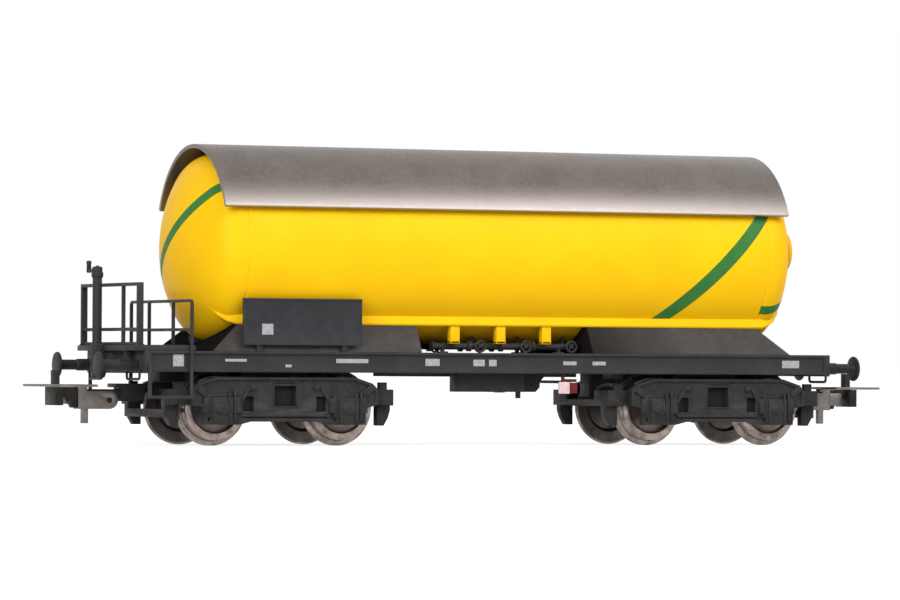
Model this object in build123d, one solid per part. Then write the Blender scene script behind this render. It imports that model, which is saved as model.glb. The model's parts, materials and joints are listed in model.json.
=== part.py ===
from build123d import *
import os
from math import atan2, cos, degrees, radians, sin, sqrt

# Model railway tank car for liquefied gas at 1:87, with a platform and handbrake at one end.
# Millimetres. X runs along the car, with the platform at its low end, Y across it and Z up.
# Heights are counted from the top of the rails. The finished pieces are then lifted by the
# flange height, so that the car stands with its wheel flanges on the floor.

# Wheelsets
tread_radius = 5.5
flange_height = 0.9
flange_thickness = 0.8
wheel_width = 2.8
wheel_back_gap = 14.3
rim_depth = 1.0
web_recess = 0.7
hub_radius = 1.5
axle_radius = 0.8
journal_radius = 0.5
axle_length = 24.4
bearing_fit = 0.06
axle_end_play = 0.1

# Main lengths of the car
frame_half_length = 63.3
buffer_reach = 7.05
tank_middle_x = 2.15
bogie_overhang = 23.15
wheelbase = 22.6

# Underframe
frame_tank_step = 1.45
sole_bar_bottom = 11.4
deck_top = 14.85
sole_web_thickness = 0.6
sole_flange_depth = 0.45
sole_flange_thickness = 0.45
floor_thickness = 1.9
headstock_thickness = 1.1
headstock_drop = 0.25
centre_sill_y = 3.2
centre_sill_width = 0.9
centre_sill_bottom = 10.8
centre_sill_half_length = 17.5
pivot_pad_radius = 3.4
pivot_pad_bottom = 11.0
seat_gap = 0.03

# Tank, its seam lip along both sides and its feet
tank_radius = 15.8
tank_gap = 1.55
tank_end_inset = 15.1
crown_radius = 25.3
knuckle_radius = 4.9
lip_drop_share = 0.712
lip_height = 1.55
lip_overhang = 0.25
lip_depth = 2.4
foot_spacing = 8.5
foot_width = 1.7
foot_depth = 1.4
foot_height = 2.6
foot_inset = 0.45
manhole_rise = 0.8
manhole_neck_radius = 3.0
manhole_neck_length = 1.9
manhole_cover_radius = 3.6
manhole_cover_thickness = 1.0
manhole_root = 3.0

# Sun shield over the tank and the straps that carry it
shield_gap = 0.95
shield_thickness = 0.7
shield_half_angle = 67.2
shield_overhang = 3.95
strap_half_angle = 58.0
strap_width = 1.0
strap_edge_inset = 5.0
strap_count = 5

# Saddles under the tank
saddle_foot_inset = 0.45
saddle_top_inset = 0.05
saddle_inner_x = 15.8
saddle_top_overrun = 0.1
saddle_foot_overrun = 5.4

# Lettering board on each side
board_length = 21.25
board_overrun = 0.15
board_inset = 0.25
board_thickness = 0.6
board_gap = 1.05
board_height = 7.8
board_frame = 0.35
board_relief = 0.15
board_leg_width = 1.0
board_leg_inset = 3.0

# Platform with its two railings
platform_overhang = 1.8
platform_length = 10.7
platform_inset = 0.05
platform_thickness = 0.9
outer_rail_inset = 1.0
outer_rail_top = 26.1
outer_post_inset = 0.5
inner_post_y = 5.8
outer_post_depth = 1.0
outer_post_width = 0.7
rail_bar = 0.55
mid_rail_height = 18.4
inner_rail_inset = 0.9
inner_rail_top = 23.4
grab_bar = 0.5
grab_bottom = 12.7
rail_corner = 0.9

# Handbrake column and crank
column_radius = 0.8
column_y = 2.9
column_top = 28.0
column_collar_radius = 1.0
column_collar_height = 0.7
gearbox_depth = 2.1
gearbox_width = 2.2
gearbox_bottom = 10.35
gearbox_chamfer = 0.7
crank_arm_length = 4.7
crank_arm_bar = 0.6
crank_drop = 0.75
crank_handle_radius = 0.35
crank_handle_length = 1.9

# Footsteps under the platform
step_inset = 0.4
step_length = 7.85
step_bar = 0.55
step_bottom = 6.95
step_tread_height = 0.5
step_tread_depth = 0.9

# Buffers
buffer_spacing = 20.6
buffer_height = 12.5
buffer_disc_radius = 2.15
buffer_disc_thickness = 0.55
buffer_disc_round = 0.2
buffer_rod_radius = 0.92
buffer_sleeve_radius = 1.0
buffer_sleeve_length = 3.4

# Brake gear under the middle
reservoir_share = 0.3083
reservoir_shift_share = 0.0363
reservoir_bottom = 8.25
reservoir_near_y = 10.0
reservoir_depth = 3.5
valve_box_share = 0.1253
valve_box_depth = 6.0
valve_box_slope = 0.8
drain_radius = 0.45
drain_drop = 1.1
lever_share = 0.2657
lever_inset = 0.3
lever_bar = 0.5
plate_side = 2.0
plate_thickness = 0.4
plate_bottom = 8.0
lever_grip_length = 1.5
upright_reach = 19.6
upright_length = 1.3
upright_near_y = 2.3
upright_far_y = 1.5
upright_bottom = 7.35

# Pipes and handwheels between the feet of the tank
manifold_radius = 0.55
manifold_foot_gap = 0.9
handwheel_gap = 0.05
manifold_half_length = 12.0
manifold_stand_x = 10.8
handwheel_radius = 1.1
handwheel_thickness = 0.35

# Grab irons under the headstocks
iron_bar = 0.45
iron_y = 9.2
iron_width = 6.6
iron_drop = 1.45

# Bogies
side_inner_y = 11.6
side_outer_y = 12.85
side_top = 10.6
side_top_half_length = 12.5
side_shoulder_x = 15.6
side_shoulder_height = 9.6
side_end_x = 16.6
side_end_top = 8.6
side_end_bottom = 6.0
box_half_width = 3.1
box_bottom = 2.7
side_belly_height = 3.2
side_belly_half_length = 6.2
window_half_width = 1.95
window_bottom = 6.3
window_top = 9.5
side_flange_depth = 0.4
side_flange_width = 0.5
axlebox_half_width = 1.75
axlebox_height = 4.4
axlebox_depth = 0.75
axlebox_cover_radius = 1.1
axlebox_cover_depth = 0.3
spring_radius = 0.75
spring_offset = 2.75
spring_height = 2.6
spring_foot_height = 4.6
bolster_half_width = 3.0
bolster_bottom = 6.4
bolster_top = 10.9
bolster_plate_half_length = 8.9
bolster_plate_half_width = 5.5
bolster_plate_bottom = 9.9
bogie_sill_half_length = 9.0
pivot_radius = 1.0
pivot_fit = 0.08
pivot_head_radius = 1.9
pivot_head_thickness = 0.6
beam_inner_x = 19.0
beam_outer_x = 20.2
beam_half_width = 11.3
beam_bottom = 5.9
beam_top = 8.6
beam_arm_width = 1.0
beam_notch_half_width = 5.6
beam_notch_bottom = 7.0
beam_stub_inner_y = 8.0
shoe_inner_y = 8.25
shoe_outer_y = 9.85
shoe_gap = 1.0
shoe_tip_thickness = 1.25
shoe_bottom = 2.5
shoe_curve_height = 2.6
hanger_inner_x = 17.6
hanger_outer_x = 19.0
hanger_top = 9.8
low_bar_bottom = 3.85
low_bar_top = 5.2
low_bar_depth = 0.9

# Couplers. Their X places are counted outwards from the headstock.
coupler_pivot_x = -9.1
guide_half_width = 2.2
guide_bottom = 8.75
guide_top = 9.4
guide_outer_x = 0.7
guide_hole_radius = 0.8
guide_stud_fit = 0.08
guide_clearance = 0.15
guide_head_radius = 1.3
guide_head_thickness = 0.4
pocket_inner_x = -4.4
pocket_outer_x = -0.4
pocket_bottom = 7.05
pocket_wall = 0.6
shank_fit = 0.05
head_half_thickness = 0.75
head_bottom = 7.1
head_top = 8.45
head_crest_x = 6.7
head_crest_top = 8.8
head_lobe_inner_x = 6.9
head_lobe_outer_x = 7.9
head_lobe_slope = 0.8
head_lobe_bottom = 5.35
head_notch_x = 10.1
head_block_outer_x = 11.55
head_block_half_width = 2.6
head_block_bottom = 5.75
hook_tip_length = 1.1
hook_tip_top = 11.6
loop_pivot_x = 1.5
loop_pivot_height = 6.65
loop_boss_radius = 0.75
loop_pin_radius = 0.4
loop_pin_fit = 0.06
ear_gap = 0.1
ear_thickness = 0.4
ear_front_x = 7.0
ear_bottom = 5.15
ear_top = 8.15
loop_plane_height = 8.85
loop_bar_thickness = 0.4
loop_bar_width = 0.8
loop_half_width = 6.4
loop_tip_x = 14.1
loop_rear_x = 5.4
tongue_x = 5.5
tongue_width = 1.05
tongue_bottom = 2.75

# Worked out from the sizes above
buffer_face_x = frame_half_length + buffer_reach
bogie_reach = frame_half_length - bogie_overhang
bay_length = 2 * (bogie_reach - beam_outer_x)
tank_half_length = frame_half_length - tank_end_inset
shield_length = 2 * (tank_half_length + shield_overhang)
saddle_outer_top_x = tank_half_length + saddle_top_overrun
saddle_outer_foot_x = tank_half_length + saddle_foot_overrun
board_outer_x = tank_half_length + board_overrun
board_inner_x = board_outer_x - board_length
platform_outer_x = frame_half_length + platform_overhang
platform_inner_x = platform_outer_x - platform_length
outer_rail_x = platform_outer_x - outer_rail_inset
inner_rail_x = platform_inner_x + inner_rail_inset
step_outer_x = frame_half_length - step_inset
step_inner_x = step_outer_x - step_length
reservoir_length = reservoir_share * bay_length
reservoir_middle_x = tank_middle_x - reservoir_shift_share * bay_length
valve_box_length = valve_box_share * bay_length
lever_x = lever_share * bay_length
sole_bar_y = tank_radius - frame_tank_step
platform_half_width = sole_bar_y - platform_inset
outer_post_y = platform_half_width - outer_post_inset
tank_axis_height = deck_top + tank_gap + tank_radius
lip_top_height = tank_axis_height - lip_drop_share * tank_radius
lip_bottom_height = lip_top_height - lip_height
lip_top_y = sqrt(tank_radius**2 - (lip_top_height - tank_axis_height) ** 2)
foot_bottom_height = lip_bottom_height - foot_height
foot_outer_y = lip_top_y + lip_overhang - foot_inset
manhole_height = tank_axis_height + manhole_rise
shield_inner_radius = tank_radius + shield_gap
saddle_foot_y = sole_bar_y - saddle_foot_inset
saddle_top_y = lip_top_y + lip_overhang - saddle_top_inset
board_y = sole_bar_y - board_inset
board_bottom = deck_top + board_gap
board_top = board_bottom + board_height
manifold_y = foot_outer_y - foot_depth - manifold_foot_gap
manifold_height = deck_top + handwheel_radius + handwheel_gap
flange_radius = tread_radius + flange_height
wheel_inner_y = wheel_back_gap / 2
wheel_outer_y = wheel_inner_y + wheel_width
floor_bottom = deck_top - floor_thickness
sole_web_outer_y = sole_bar_y - sole_flange_depth
sole_web_inner_y = sole_web_outer_y - sole_web_thickness
lever_y = sole_web_inner_y - lever_inset
platform_top = deck_top + platform_thickness
column_x = -outer_rail_x - outer_post_depth / 2 - seat_gap - column_collar_radius
lever_height = plate_bottom + plate_side
shield_outer_radius = shield_inner_radius + shield_thickness
bogie_places = {1: tank_middle_x - bogie_reach, 2: tank_middle_x + bogie_reach}


def block(x_limits, y_limits, z_limits):
    """A block between three pairs of limits."""
    lengths = [high - low for low, high in (x_limits, y_limits, z_limits)]
    middles = [(high + low) / 2 for low, high in (x_limits, y_limits, z_limits)]
    return Pos(*middles) * Box(*lengths)


def span(middle, length):
    """A pair of limits, length apart, about the middle."""
    return (middle - length / 2, middle + length / 2)


def prism_x(points, x_limits):
    """An outline of (y, z) points, extruded along X."""
    plane = Plane(origin=(x_limits[0], 0, 0), x_dir=(0, 1, 0), z_dir=(1, 0, 0))
    face = plane * make_face(Polyline(*points, close=True))
    return extrude(face, amount=x_limits[1] - x_limits[0])


def prism_y(points, y_limits):
    """An outline of (x, z) points, extruded along Y."""
    plane = Plane(origin=(0, y_limits[1], 0), x_dir=(1, 0, 0), z_dir=(0, -1, 0))
    face = plane * make_face(Polyline(*points, close=True))
    return extrude(face, amount=y_limits[1] - y_limits[0])


def rod(start, end, radius):
    """A round rod from one point to another."""
    way = Vector(*end) - Vector(*start)
    return Plane(origin=start, z_dir=way) * Cylinder(
        radius, way.length, align=(Align.CENTER, Align.CENTER, Align.MIN)
    )


def mirrored(piece):
    """The piece and its mirror image across the car's middle plane."""
    return [piece, mirror(piece, Plane.XZ)]


def turned(piece, middle_x=0.0):
    """The piece turned half a turn about the upright line at middle_x."""
    return Pos(middle_x, 0, 0) * Rot(0, 0, 180) * Pos(-middle_x, 0, 0) * piece


# Tank


def dome_sizes():
    """Depth of the crown's centre behind the straight part, and the angle where the arcs meet."""
    centre_back = sqrt(
        (crown_radius - knuckle_radius) ** 2 - (tank_radius - knuckle_radius) ** 2
    )
    return centre_back, atan2(tank_radius - knuckle_radius, centre_back)


centre_back, meet_angle = dome_sizes()
dome_depth = crown_radius - centre_back


def dome_edges(side):
    """Knuckle and crown arcs of one end, from the straight part to the axis."""

    def knuckle_point(angle):
        return (
            side * (tank_half_length + knuckle_radius * cos(angle)),
            tank_radius - knuckle_radius + knuckle_radius * sin(angle),
        )

    def crown_point(angle):
        return (
            side * (tank_half_length - centre_back + crown_radius * cos(angle)),
            crown_radius * sin(angle),
        )

    quarter = radians(90)
    knuckle = ThreePointArc(
        (side * tank_half_length, tank_radius),
        knuckle_point((quarter + meet_angle) / 2),
        crown_point(meet_angle),
    )
    crown = ThreePointArc(
        crown_point(meet_angle), crown_point(meet_angle / 2), crown_point(0)
    )
    return [knuckle, crown]


def tank_body():
    """The tank without its lip and feet, on its axis in the car."""
    apex = tank_half_length + dome_depth
    edges = [
        Line((-tank_half_length, tank_radius), (tank_half_length, tank_radius)),
        *dome_edges(1),
        *dome_edges(-1),
        Line((-apex, 0), (apex, 0)),
    ]
    profile = Plane.XZ * make_face(edges)
    return Pos(tank_middle_x, 0, tank_axis_height) * revolve(profile, Axis.X)


def lip():
    """The lip along the low side of the tank, on the +Y side."""
    outline = [
        (lip_top_y, lip_top_height),
        (lip_top_y + lip_overhang, lip_bottom_height),
        (lip_top_y - lip_depth, lip_bottom_height),
        (lip_top_y - lip_depth, lip_top_height),
    ]
    return prism_x(outline, span(tank_middle_x, 2 * tank_half_length))


def foot(number):
    """One of the three short feet under the lip, on the +Y side."""
    return block(
        span(tank_middle_x + number * foot_spacing, foot_width),
        (foot_outer_y - foot_depth, foot_outer_y),
        (foot_bottom_height, lip_top_height),
    )


def tank_shell():
    shell = tank_body()
    for piece in (lip(), *(foot(number) for number in (-1, 0, 1))):
        for side in mirrored(piece):
            shell = shell + side
    return shell


def manhole():
    """Neck and cover on the end away from the platform."""
    apex = tank_middle_x + tank_half_length + dome_depth
    neck_end = apex + manhole_neck_length
    neck = rod(
        (apex - manhole_root, 0, manhole_height),
        (neck_end, 0, manhole_height),
        manhole_neck_radius,
    )
    cover = rod(
        (neck_end, 0, manhole_height),
        (neck_end + manhole_cover_thickness, 0, manhole_height),
        manhole_cover_radius,
    )
    return neck + cover - tank_body()


# Sun shield


def arc_band(inner_radius, outer_radius, half_angle, x_limits):
    """A band over the top of the tank, between two radii."""

    def point(radius, angle):
        return (
            radius * sin(radians(angle)),
            tank_axis_height + radius * cos(radians(angle)),
        )

    edges = [
        ThreePointArc(*(point(outer_radius, turn) for turn in (-half_angle, 0, half_angle))),
        Line(point(outer_radius, half_angle), point(inner_radius, half_angle)),
        ThreePointArc(*(point(inner_radius, turn) for turn in (half_angle, 0, -half_angle))),
        Line(point(inner_radius, -half_angle), point(outer_radius, -half_angle)),
    ]
    plane = Plane(origin=(x_limits[0], 0, 0), x_dir=(0, 1, 0), z_dir=(1, 0, 0))
    return extrude(plane * make_face(edges), amount=x_limits[1] - x_limits[0])


def sun_shield():
    return arc_band(
        shield_inner_radius,
        shield_outer_radius,
        shield_half_angle,
        span(tank_middle_x, shield_length),
    )


def shield_straps():
    first = -tank_half_length + strap_edge_inset
    pitch = -2 * first / (strap_count - 1)
    return [
        arc_band(
            tank_radius + seat_gap,
            shield_inner_radius - seat_gap,
            strap_half_angle,
            span(tank_middle_x + first + number * pitch, strap_width),
        )
        for number in range(strap_count)
    ]


# Saddles, boards and underframe


def saddle(side):
    """The sloping cradle between the frame and the tank, over one bogie."""
    across = prism_x(
        [
            (-saddle_foot_y, deck_top),
            (saddle_foot_y, deck_top),
            (saddle_top_y, lip_bottom_height - seat_gap),
            (-saddle_top_y, lip_bottom_height - seat_gap),
        ],
        span(tank_middle_x, 2 * saddle_outer_foot_x),
    )
    near, far_foot, far_top = (
        tank_middle_x + side * x
        for x in (saddle_inner_x, saddle_outer_foot_x, saddle_outer_top_x)
    )
    along = prism_y(
        [
            (near, deck_top),
            (far_foot, deck_top),
            (far_top, lip_bottom_height),
            (near, lip_bottom_height),
        ],
        (-saddle_foot_y, saddle_foot_y),
    )
    hollow = Pos(tank_middle_x, 0, tank_axis_height) * Rot(0, 90, 0) * Cylinder(
        tank_radius + seat_gap, 2 * frame_half_length
    )
    return across & along - hollow


def lettering_board():
    """The blank board on its two legs, on the -Y side near the platform."""
    x_limits = (tank_middle_x - board_outer_x, tank_middle_x - board_inner_x)
    back = -board_y
    front = -board_y - board_thickness
    board = block(x_limits, (front, back), (board_bottom, board_top))
    panel = block(
        (x_limits[0] + board_frame, x_limits[1] - board_frame),
        (front, front + board_relief),
        (board_bottom + board_frame, board_top - board_frame),
    )
    board = board - panel
    for x in (x_limits[0] + board_leg_inset, x_limits[1] - board_leg_inset):
        leg = block(
            span(x, board_leg_width),
            (back - board_thickness / 2, back),
            (deck_top, board_bottom),
        )
        board = board + leg
    return board


def sole_bar():
    """The +Y channel, its flanges outwards."""
    outline = [
        (sole_web_inner_y, sole_bar_bottom),
        (sole_bar_y, sole_bar_bottom),
        (sole_bar_y, sole_bar_bottom + sole_flange_thickness),
        (sole_web_outer_y, sole_bar_bottom + sole_flange_thickness),
        (sole_web_outer_y, deck_top - sole_flange_thickness),
        (sole_bar_y, deck_top - sole_flange_thickness),
        (sole_bar_y, deck_top),
        (sole_web_inner_y, deck_top),
    ]
    return prism_x(outline, (-frame_half_length, frame_half_length))


def underframe():
    frame = block(
        (-frame_half_length, frame_half_length),
        (-sole_web_outer_y, sole_web_outer_y),
        (floor_bottom, deck_top),
    )
    for bar in mirrored(sole_bar()):
        frame = frame + bar
    stud_x = frame_half_length + coupler_pivot_x
    for side in (-1, 1):
        ends = sorted((side * frame_half_length, side * (frame_half_length - headstock_thickness)))
        frame = frame + block(
            ends, (-sole_bar_y, sole_bar_y), (sole_bar_bottom - headstock_drop, deck_top)
        )
        frame = frame + block(
            span(tank_middle_x, 2 * centre_sill_half_length),
            span(side * centre_sill_y, centre_sill_width),
            (centre_sill_bottom, floor_bottom),
        )
        frame = frame + rod(
            (side * stud_x, 0, guide_bottom - guide_clearance),
            (side * stud_x, 0, floor_bottom),
            guide_hole_radius - guide_stud_fit,
        )
        head_top_z = guide_bottom - guide_clearance
        frame = frame + rod(
            (side * stud_x, 0, head_top_z - guide_head_thickness),
            (side * stud_x, 0, head_top_z),
            guide_head_radius,
        )
        frame = frame + block(
            span(side * stud_x, 2 * guide_half_width),
            (-guide_half_width, guide_half_width),
            (guide_top + guide_clearance, floor_bottom),
        )
    for x in bogie_places.values():
        frame = frame + rod((x, 0, pivot_pad_bottom), (x, 0, floor_bottom), pivot_pad_radius)
        for side in (-1, 1):
            frame = frame + block(
                span(x, 2 * bogie_sill_half_length),
                span(side * centre_sill_y, centre_sill_width),
                (pivot_pad_bottom, floor_bottom),
            )
    return frame


# Platform, railings, handbrake and steps


def platform():
    """Deck of the platform, notched round the handbrake gearbox."""
    deck = block(
        (-platform_outer_x, -platform_inner_x),
        (-platform_half_width, platform_half_width),
        (deck_top, platform_top),
    )
    notch = block(
        (-platform_outer_x - gearbox_depth, column_x - column_radius + gearbox_depth + seat_gap),
        span(column_y, gearbox_width + 2 * seat_gap),
        (deck_top, platform_top),
    )
    return deck - notch


def outer_railing():
    """Railing at the car's end."""
    depth = span(-outer_rail_x, outer_post_depth)
    bar_depth = span(-outer_rail_x, rail_bar)
    width = outer_post_y + outer_post_width / 2
    railing = block(depth, (-width, width), (outer_rail_top - rail_bar, outer_rail_top))
    for z_limits in (span(mid_rail_height, rail_bar), (platform_top, platform_top + rail_bar)):
        railing = railing + block(bar_depth, (-width, width), z_limits)
    for y in (-outer_post_y, outer_post_y):
        railing = railing + block(
            depth, span(y, outer_post_width), (platform_top, outer_rail_top)
        )
    return railing + block(
        bar_depth, span(-inner_post_y, rail_bar), (platform_top, outer_rail_top)
    )


def inner_railing():
    """Railing on the tank's side, with its grab irons running down past the frame."""
    outer = sole_bar_y + seat_gap + grab_bar
    hoop = block(
        span(-inner_rail_x, grab_bar), (-outer, outer), (grab_bottom, inner_rail_top)
    )
    corners = hoop.edges().filter_by(Axis.X).group_by(Axis.Z)[-1]
    hoop = fillet(corners, rail_corner)
    inner = outer - grab_bar
    gap = block(
        span(-inner_rail_x, 2 * grab_bar),
        (-inner, inner),
        (grab_bottom - grab_bar, inner_rail_top - grab_bar),
    )
    hoop = hoop - gap
    hoop = hoop + block(
        span(-inner_rail_x, grab_bar), (-outer, outer), span(mid_rail_height, grab_bar)
    )
    for y in (-inner_post_y, inner_post_y):
        hoop = hoop + block(
            span(-inner_rail_x, grab_bar), span(y, grab_bar), (platform_top, inner_rail_top)
        )
    return hoop


def handbrake_column():
    """Round column on a gearbox in front of the headstock."""
    gearbox = block(
        (column_x - column_radius, column_x - column_radius + gearbox_depth),
        span(column_y, gearbox_width),
        (gearbox_bottom, platform_top),
    )
    low_corners = gearbox.edges().filter_by(Axis.X).group_by(Axis.Z)[0]
    gearbox = chamfer(low_corners, gearbox_chamfer)
    column = rod((column_x, column_y, deck_top), (column_x, column_y, column_top), column_radius)
    collar = rod(
        (column_x, column_y, column_top - column_collar_height),
        (column_x, column_y, column_top),
        column_collar_radius,
    )
    return gearbox + column + collar


def handbrake_crank():
    """Arm and upright handle on top of the column."""
    arm_bottom = column_top + seat_gap
    arm = block(
        span(column_x, crank_arm_bar),
        (column_y - column_radius, column_y + crank_arm_length),
        (arm_bottom, arm_bottom + crank_arm_bar),
    )
    handle_y = column_y + crank_arm_length - crank_handle_radius
    handle = rod(
        (column_x, handle_y, arm_bottom - crank_drop),
        (column_x, handle_y, arm_bottom - crank_drop + crank_handle_length),
        crank_handle_radius,
    )
    return arm + handle


def footstep():
    """Stirrup and tread under the platform, on the -Y side."""
    back = -sole_bar_y - seat_gap
    front = back - step_bar
    top = grab_bottom - seat_gap
    outer = block((-step_outer_x, -step_inner_x), (front, back), (step_bottom, top))
    gap = block(
        (-step_outer_x + step_bar, -step_inner_x - step_bar),
        (front - step_bar, back + step_bar),
        (step_bottom + step_tread_height, top + step_bar),
    )
    tread = block(
        (-step_outer_x, -step_inner_x),
        (back - step_tread_depth, back),
        (step_bottom, step_bottom + step_tread_height),
    )
    return outer - gap + tread


# Buffers and small gear


def buffer(side_x, side_y):
    """Sleeve, rod and disc of one buffer."""
    y = side_y * buffer_spacing / 2

    def place(x):
        return (side_x * x, y, buffer_height)

    sleeve = rod(
        place(frame_half_length), place(frame_half_length + buffer_sleeve_length), buffer_sleeve_radius
    )
    plunger = rod(place(frame_half_length), place(buffer_face_x), buffer_rod_radius)
    disc = rod(place(buffer_face_x - buffer_disc_thickness), place(buffer_face_x), buffer_disc_radius)
    disc = fillet(disc.edges(), buffer_disc_round)
    return sleeve + plunger + disc


def brake_reservoir():
    """Reservoir on the -Y side of the sills, with a sloping valve box beside it and a drain."""
    back = -reservoir_near_y + reservoir_depth
    tank = block(
        span(reservoir_middle_x, reservoir_length),
        (-reservoir_near_y, back),
        (reservoir_bottom, floor_bottom),
    )
    end_x = reservoir_middle_x + reservoir_length / 2
    outline = [
        (end_x - reservoir_depth, floor_bottom),
        (end_x - reservoir_depth, reservoir_bottom),
        (end_x + valve_box_length - 2 * valve_box_slope, reservoir_bottom),
        (end_x + valve_box_length - valve_box_slope, reservoir_bottom + valve_box_slope),
        (end_x + valve_box_length - valve_box_slope, centre_sill_bottom - valve_box_slope),
        (end_x + valve_box_length, centre_sill_bottom),
        (end_x + valve_box_length, floor_bottom),
    ]
    valve_box = prism_y(outline, (back - valve_box_slope, back + valve_box_depth - reservoir_depth))
    drain = rod(
        (end_x + drain_radius, back, reservoir_bottom - drain_drop),
        (end_x + drain_radius, back, reservoir_bottom + drain_drop),
        drain_radius,
    )
    return tank + valve_box + drain


def brake_upright():
    """Upright lever under the floor, in the notch of the end beam over the plain end's bogie."""
    x = bogie_places[2] - upright_reach
    return block(
        (x, x + upright_length),
        (-upright_near_y, upright_far_y),
        (upright_bottom, floor_bottom),
    )


def lever_bracket():
    """Two hangers and the shaft between them, which carries the changeover plate and grip."""
    x = tank_middle_x + lever_x
    bracket = block(span(x, lever_bar), (-lever_y, lever_y), span(lever_height, lever_bar))
    for y in (-lever_y, lever_y):
        bracket = bracket + block(
            span(x, lever_bar), span(y, lever_bar), (plate_bottom, floor_bottom)
        )
    return bracket + block(
        (x, x + plate_side / 2 + lever_grip_length),
        span(-lever_y, lever_bar),
        (lever_height, lever_height + lever_bar),
    )


def lever_plate():
    x = tank_middle_x + lever_x
    back = -lever_y - lever_bar / 2 - seat_gap
    return block(
        span(x, plate_side), (back - plate_thickness, back), (plate_bottom, lever_height)
    )


def valve_pipes():
    """Pipe on two stands along the deck, with three handwheels, on the +Y side."""
    pipe = rod(
        (tank_middle_x - manifold_half_length, manifold_y, manifold_height),
        (tank_middle_x + manifold_half_length, manifold_y, manifold_height),
        manifold_radius,
    )
    for side in (-1, 1):
        pipe = pipe + block(
            span(tank_middle_x + side * manifold_stand_x, manifold_radius),
            span(manifold_y, manifold_radius),
            (deck_top, manifold_height),
        )
    for number in (-1, 0, 1):
        x = tank_middle_x + (number + 1 / 2) * foot_spacing
        pipe = pipe + rod(
            (x, manifold_y, manifold_height),
            (x, manifold_y + handwheel_radius, manifold_height),
            manifold_radius / 2,
        )
        pipe = pipe + rod(
            (x, manifold_y + handwheel_radius, manifold_height),
            (x, manifold_y + handwheel_radius + handwheel_thickness, manifold_height),
            handwheel_radius,
        )
    return pipe


def grab_iron(side_x, side_y):
    """Handle for coupling staff, below the headstock."""
    x = side_x * (frame_half_length + iron_bar / 2 + seat_gap)
    top = sole_bar_bottom + iron_bar
    y_limits = span(side_y * iron_y, iron_width)
    handle = block(span(x, iron_bar), y_limits, (top - iron_drop - iron_bar, top))
    gap = block(
        span(x, 2 * iron_bar),
        (y_limits[0] + iron_bar, y_limits[1] - iron_bar),
        (top - iron_drop, top + iron_bar),
    )
    return handle - gap


# Bogies, made about their own middle


def side_frame():
    """The +Y side frame with window, axleboxes and springs."""
    half = [
        (side_top_half_length, side_top),
        (side_shoulder_x, side_shoulder_height),
        (side_end_x, side_end_top),
        (side_end_x, side_end_bottom),
        (wheelbase / 2 + box_half_width, side_end_bottom - side_flange_width),
        (wheelbase / 2 + box_half_width, box_bottom),
        (wheelbase / 2 - box_half_width, box_bottom),
        (side_belly_half_length, side_belly_height),
    ]
    outline = half + [(-x, z) for x, z in reversed(half)]
    frame = prism_y(outline, (side_inner_y, side_outer_y))
    face = frame.faces().sort_by(Axis.Y)[-1]
    rim = extrude(face, amount=side_flange_depth)
    inner_outline = offset(face, amount=-side_flange_width)
    rim = rim - extrude(inner_outline, amount=2 * side_flange_depth)
    frame = frame + rim
    frame = frame - block(
        (-window_half_width, window_half_width),
        (side_inner_y - side_flange_depth, side_outer_y + 2 * side_flange_depth),
        (window_bottom, window_top),
    )
    for side in (-1, 1):
        frame = frame + axlebox(side * wheelbase / 2)
        frame = frame - rod(
            (side * wheelbase / 2, side_inner_y - bearing_fit, tread_radius),
            (side * wheelbase / 2, axle_length / 2 + axle_end_play, tread_radius),
            journal_radius + bearing_fit,
        )
    return frame


def axlebox(x):
    """Box, round cover and the coil springs either side of it."""
    box = block(
        span(x, 2 * axlebox_half_width),
        (side_outer_y, side_outer_y + axlebox_depth),
        (box_bottom, box_bottom + axlebox_height),
    )
    cover_y = side_outer_y + axlebox_depth
    box = box + rod(
        (x, cover_y, tread_radius),
        (x, cover_y + axlebox_cover_depth, tread_radius),
        axlebox_cover_radius,
    )
    for side in (-1, 1):
        spring_x = x + side * spring_offset
        box = box + rod(
            (spring_x, side_outer_y, spring_foot_height),
            (spring_x, side_outer_y, spring_foot_height + spring_height),
            spring_radius,
        )
    return box & block(
        span(x, wheelbase), (side_outer_y, side_outer_y + tread_radius), (0, side_top)
    )


def bolster():
    """Cross member between the side frames, with the pivot hole."""
    y = side_inner_y - seat_gap
    member = block(
        (-bolster_half_width, bolster_half_width), (-y, y), (bolster_bottom, side_top)
    )
    member = member + block(
        (-bolster_plate_half_length, bolster_plate_half_length),
        (-bolster_plate_half_width, bolster_plate_half_width),
        (bolster_plate_bottom, bolster_top),
    )
    return member - rod(
        (0, 0, bolster_bottom), (0, 0, bolster_top), pivot_radius + pivot_fit
    )


def beam_arms():
    """Arms from the side frames to the end beam, and the brake shoes, at the +X end."""
    arm = block(
        (side_end_x - beam_arm_width, beam_inner_x),
        (beam_half_width - beam_arm_width, beam_half_width),
        (side_end_bottom, side_end_top),
    )
    hanger = block(
        (hanger_inner_x, hanger_outer_x),
        (beam_half_width - beam_arm_width, beam_half_width),
        (side_end_bottom, hanger_top),
    )
    return mirrored(arm + hanger) + mirrored(brake_shoe())


def inner_end_beam():
    """Beam across the bogie's end towards the middle of the car, made at the +X end."""
    beam = block(
        (beam_inner_x, beam_outer_x),
        (-beam_half_width, beam_half_width),
        (beam_bottom, beam_top),
    )
    beam = beam - block(
        (beam_inner_x - beam_arm_width, beam_outer_x + beam_arm_width),
        (-beam_notch_half_width, beam_notch_half_width),
        (beam_notch_bottom, beam_top + beam_arm_width),
    )
    for piece in beam_arms():
        beam = beam + piece
    return [beam]


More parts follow.
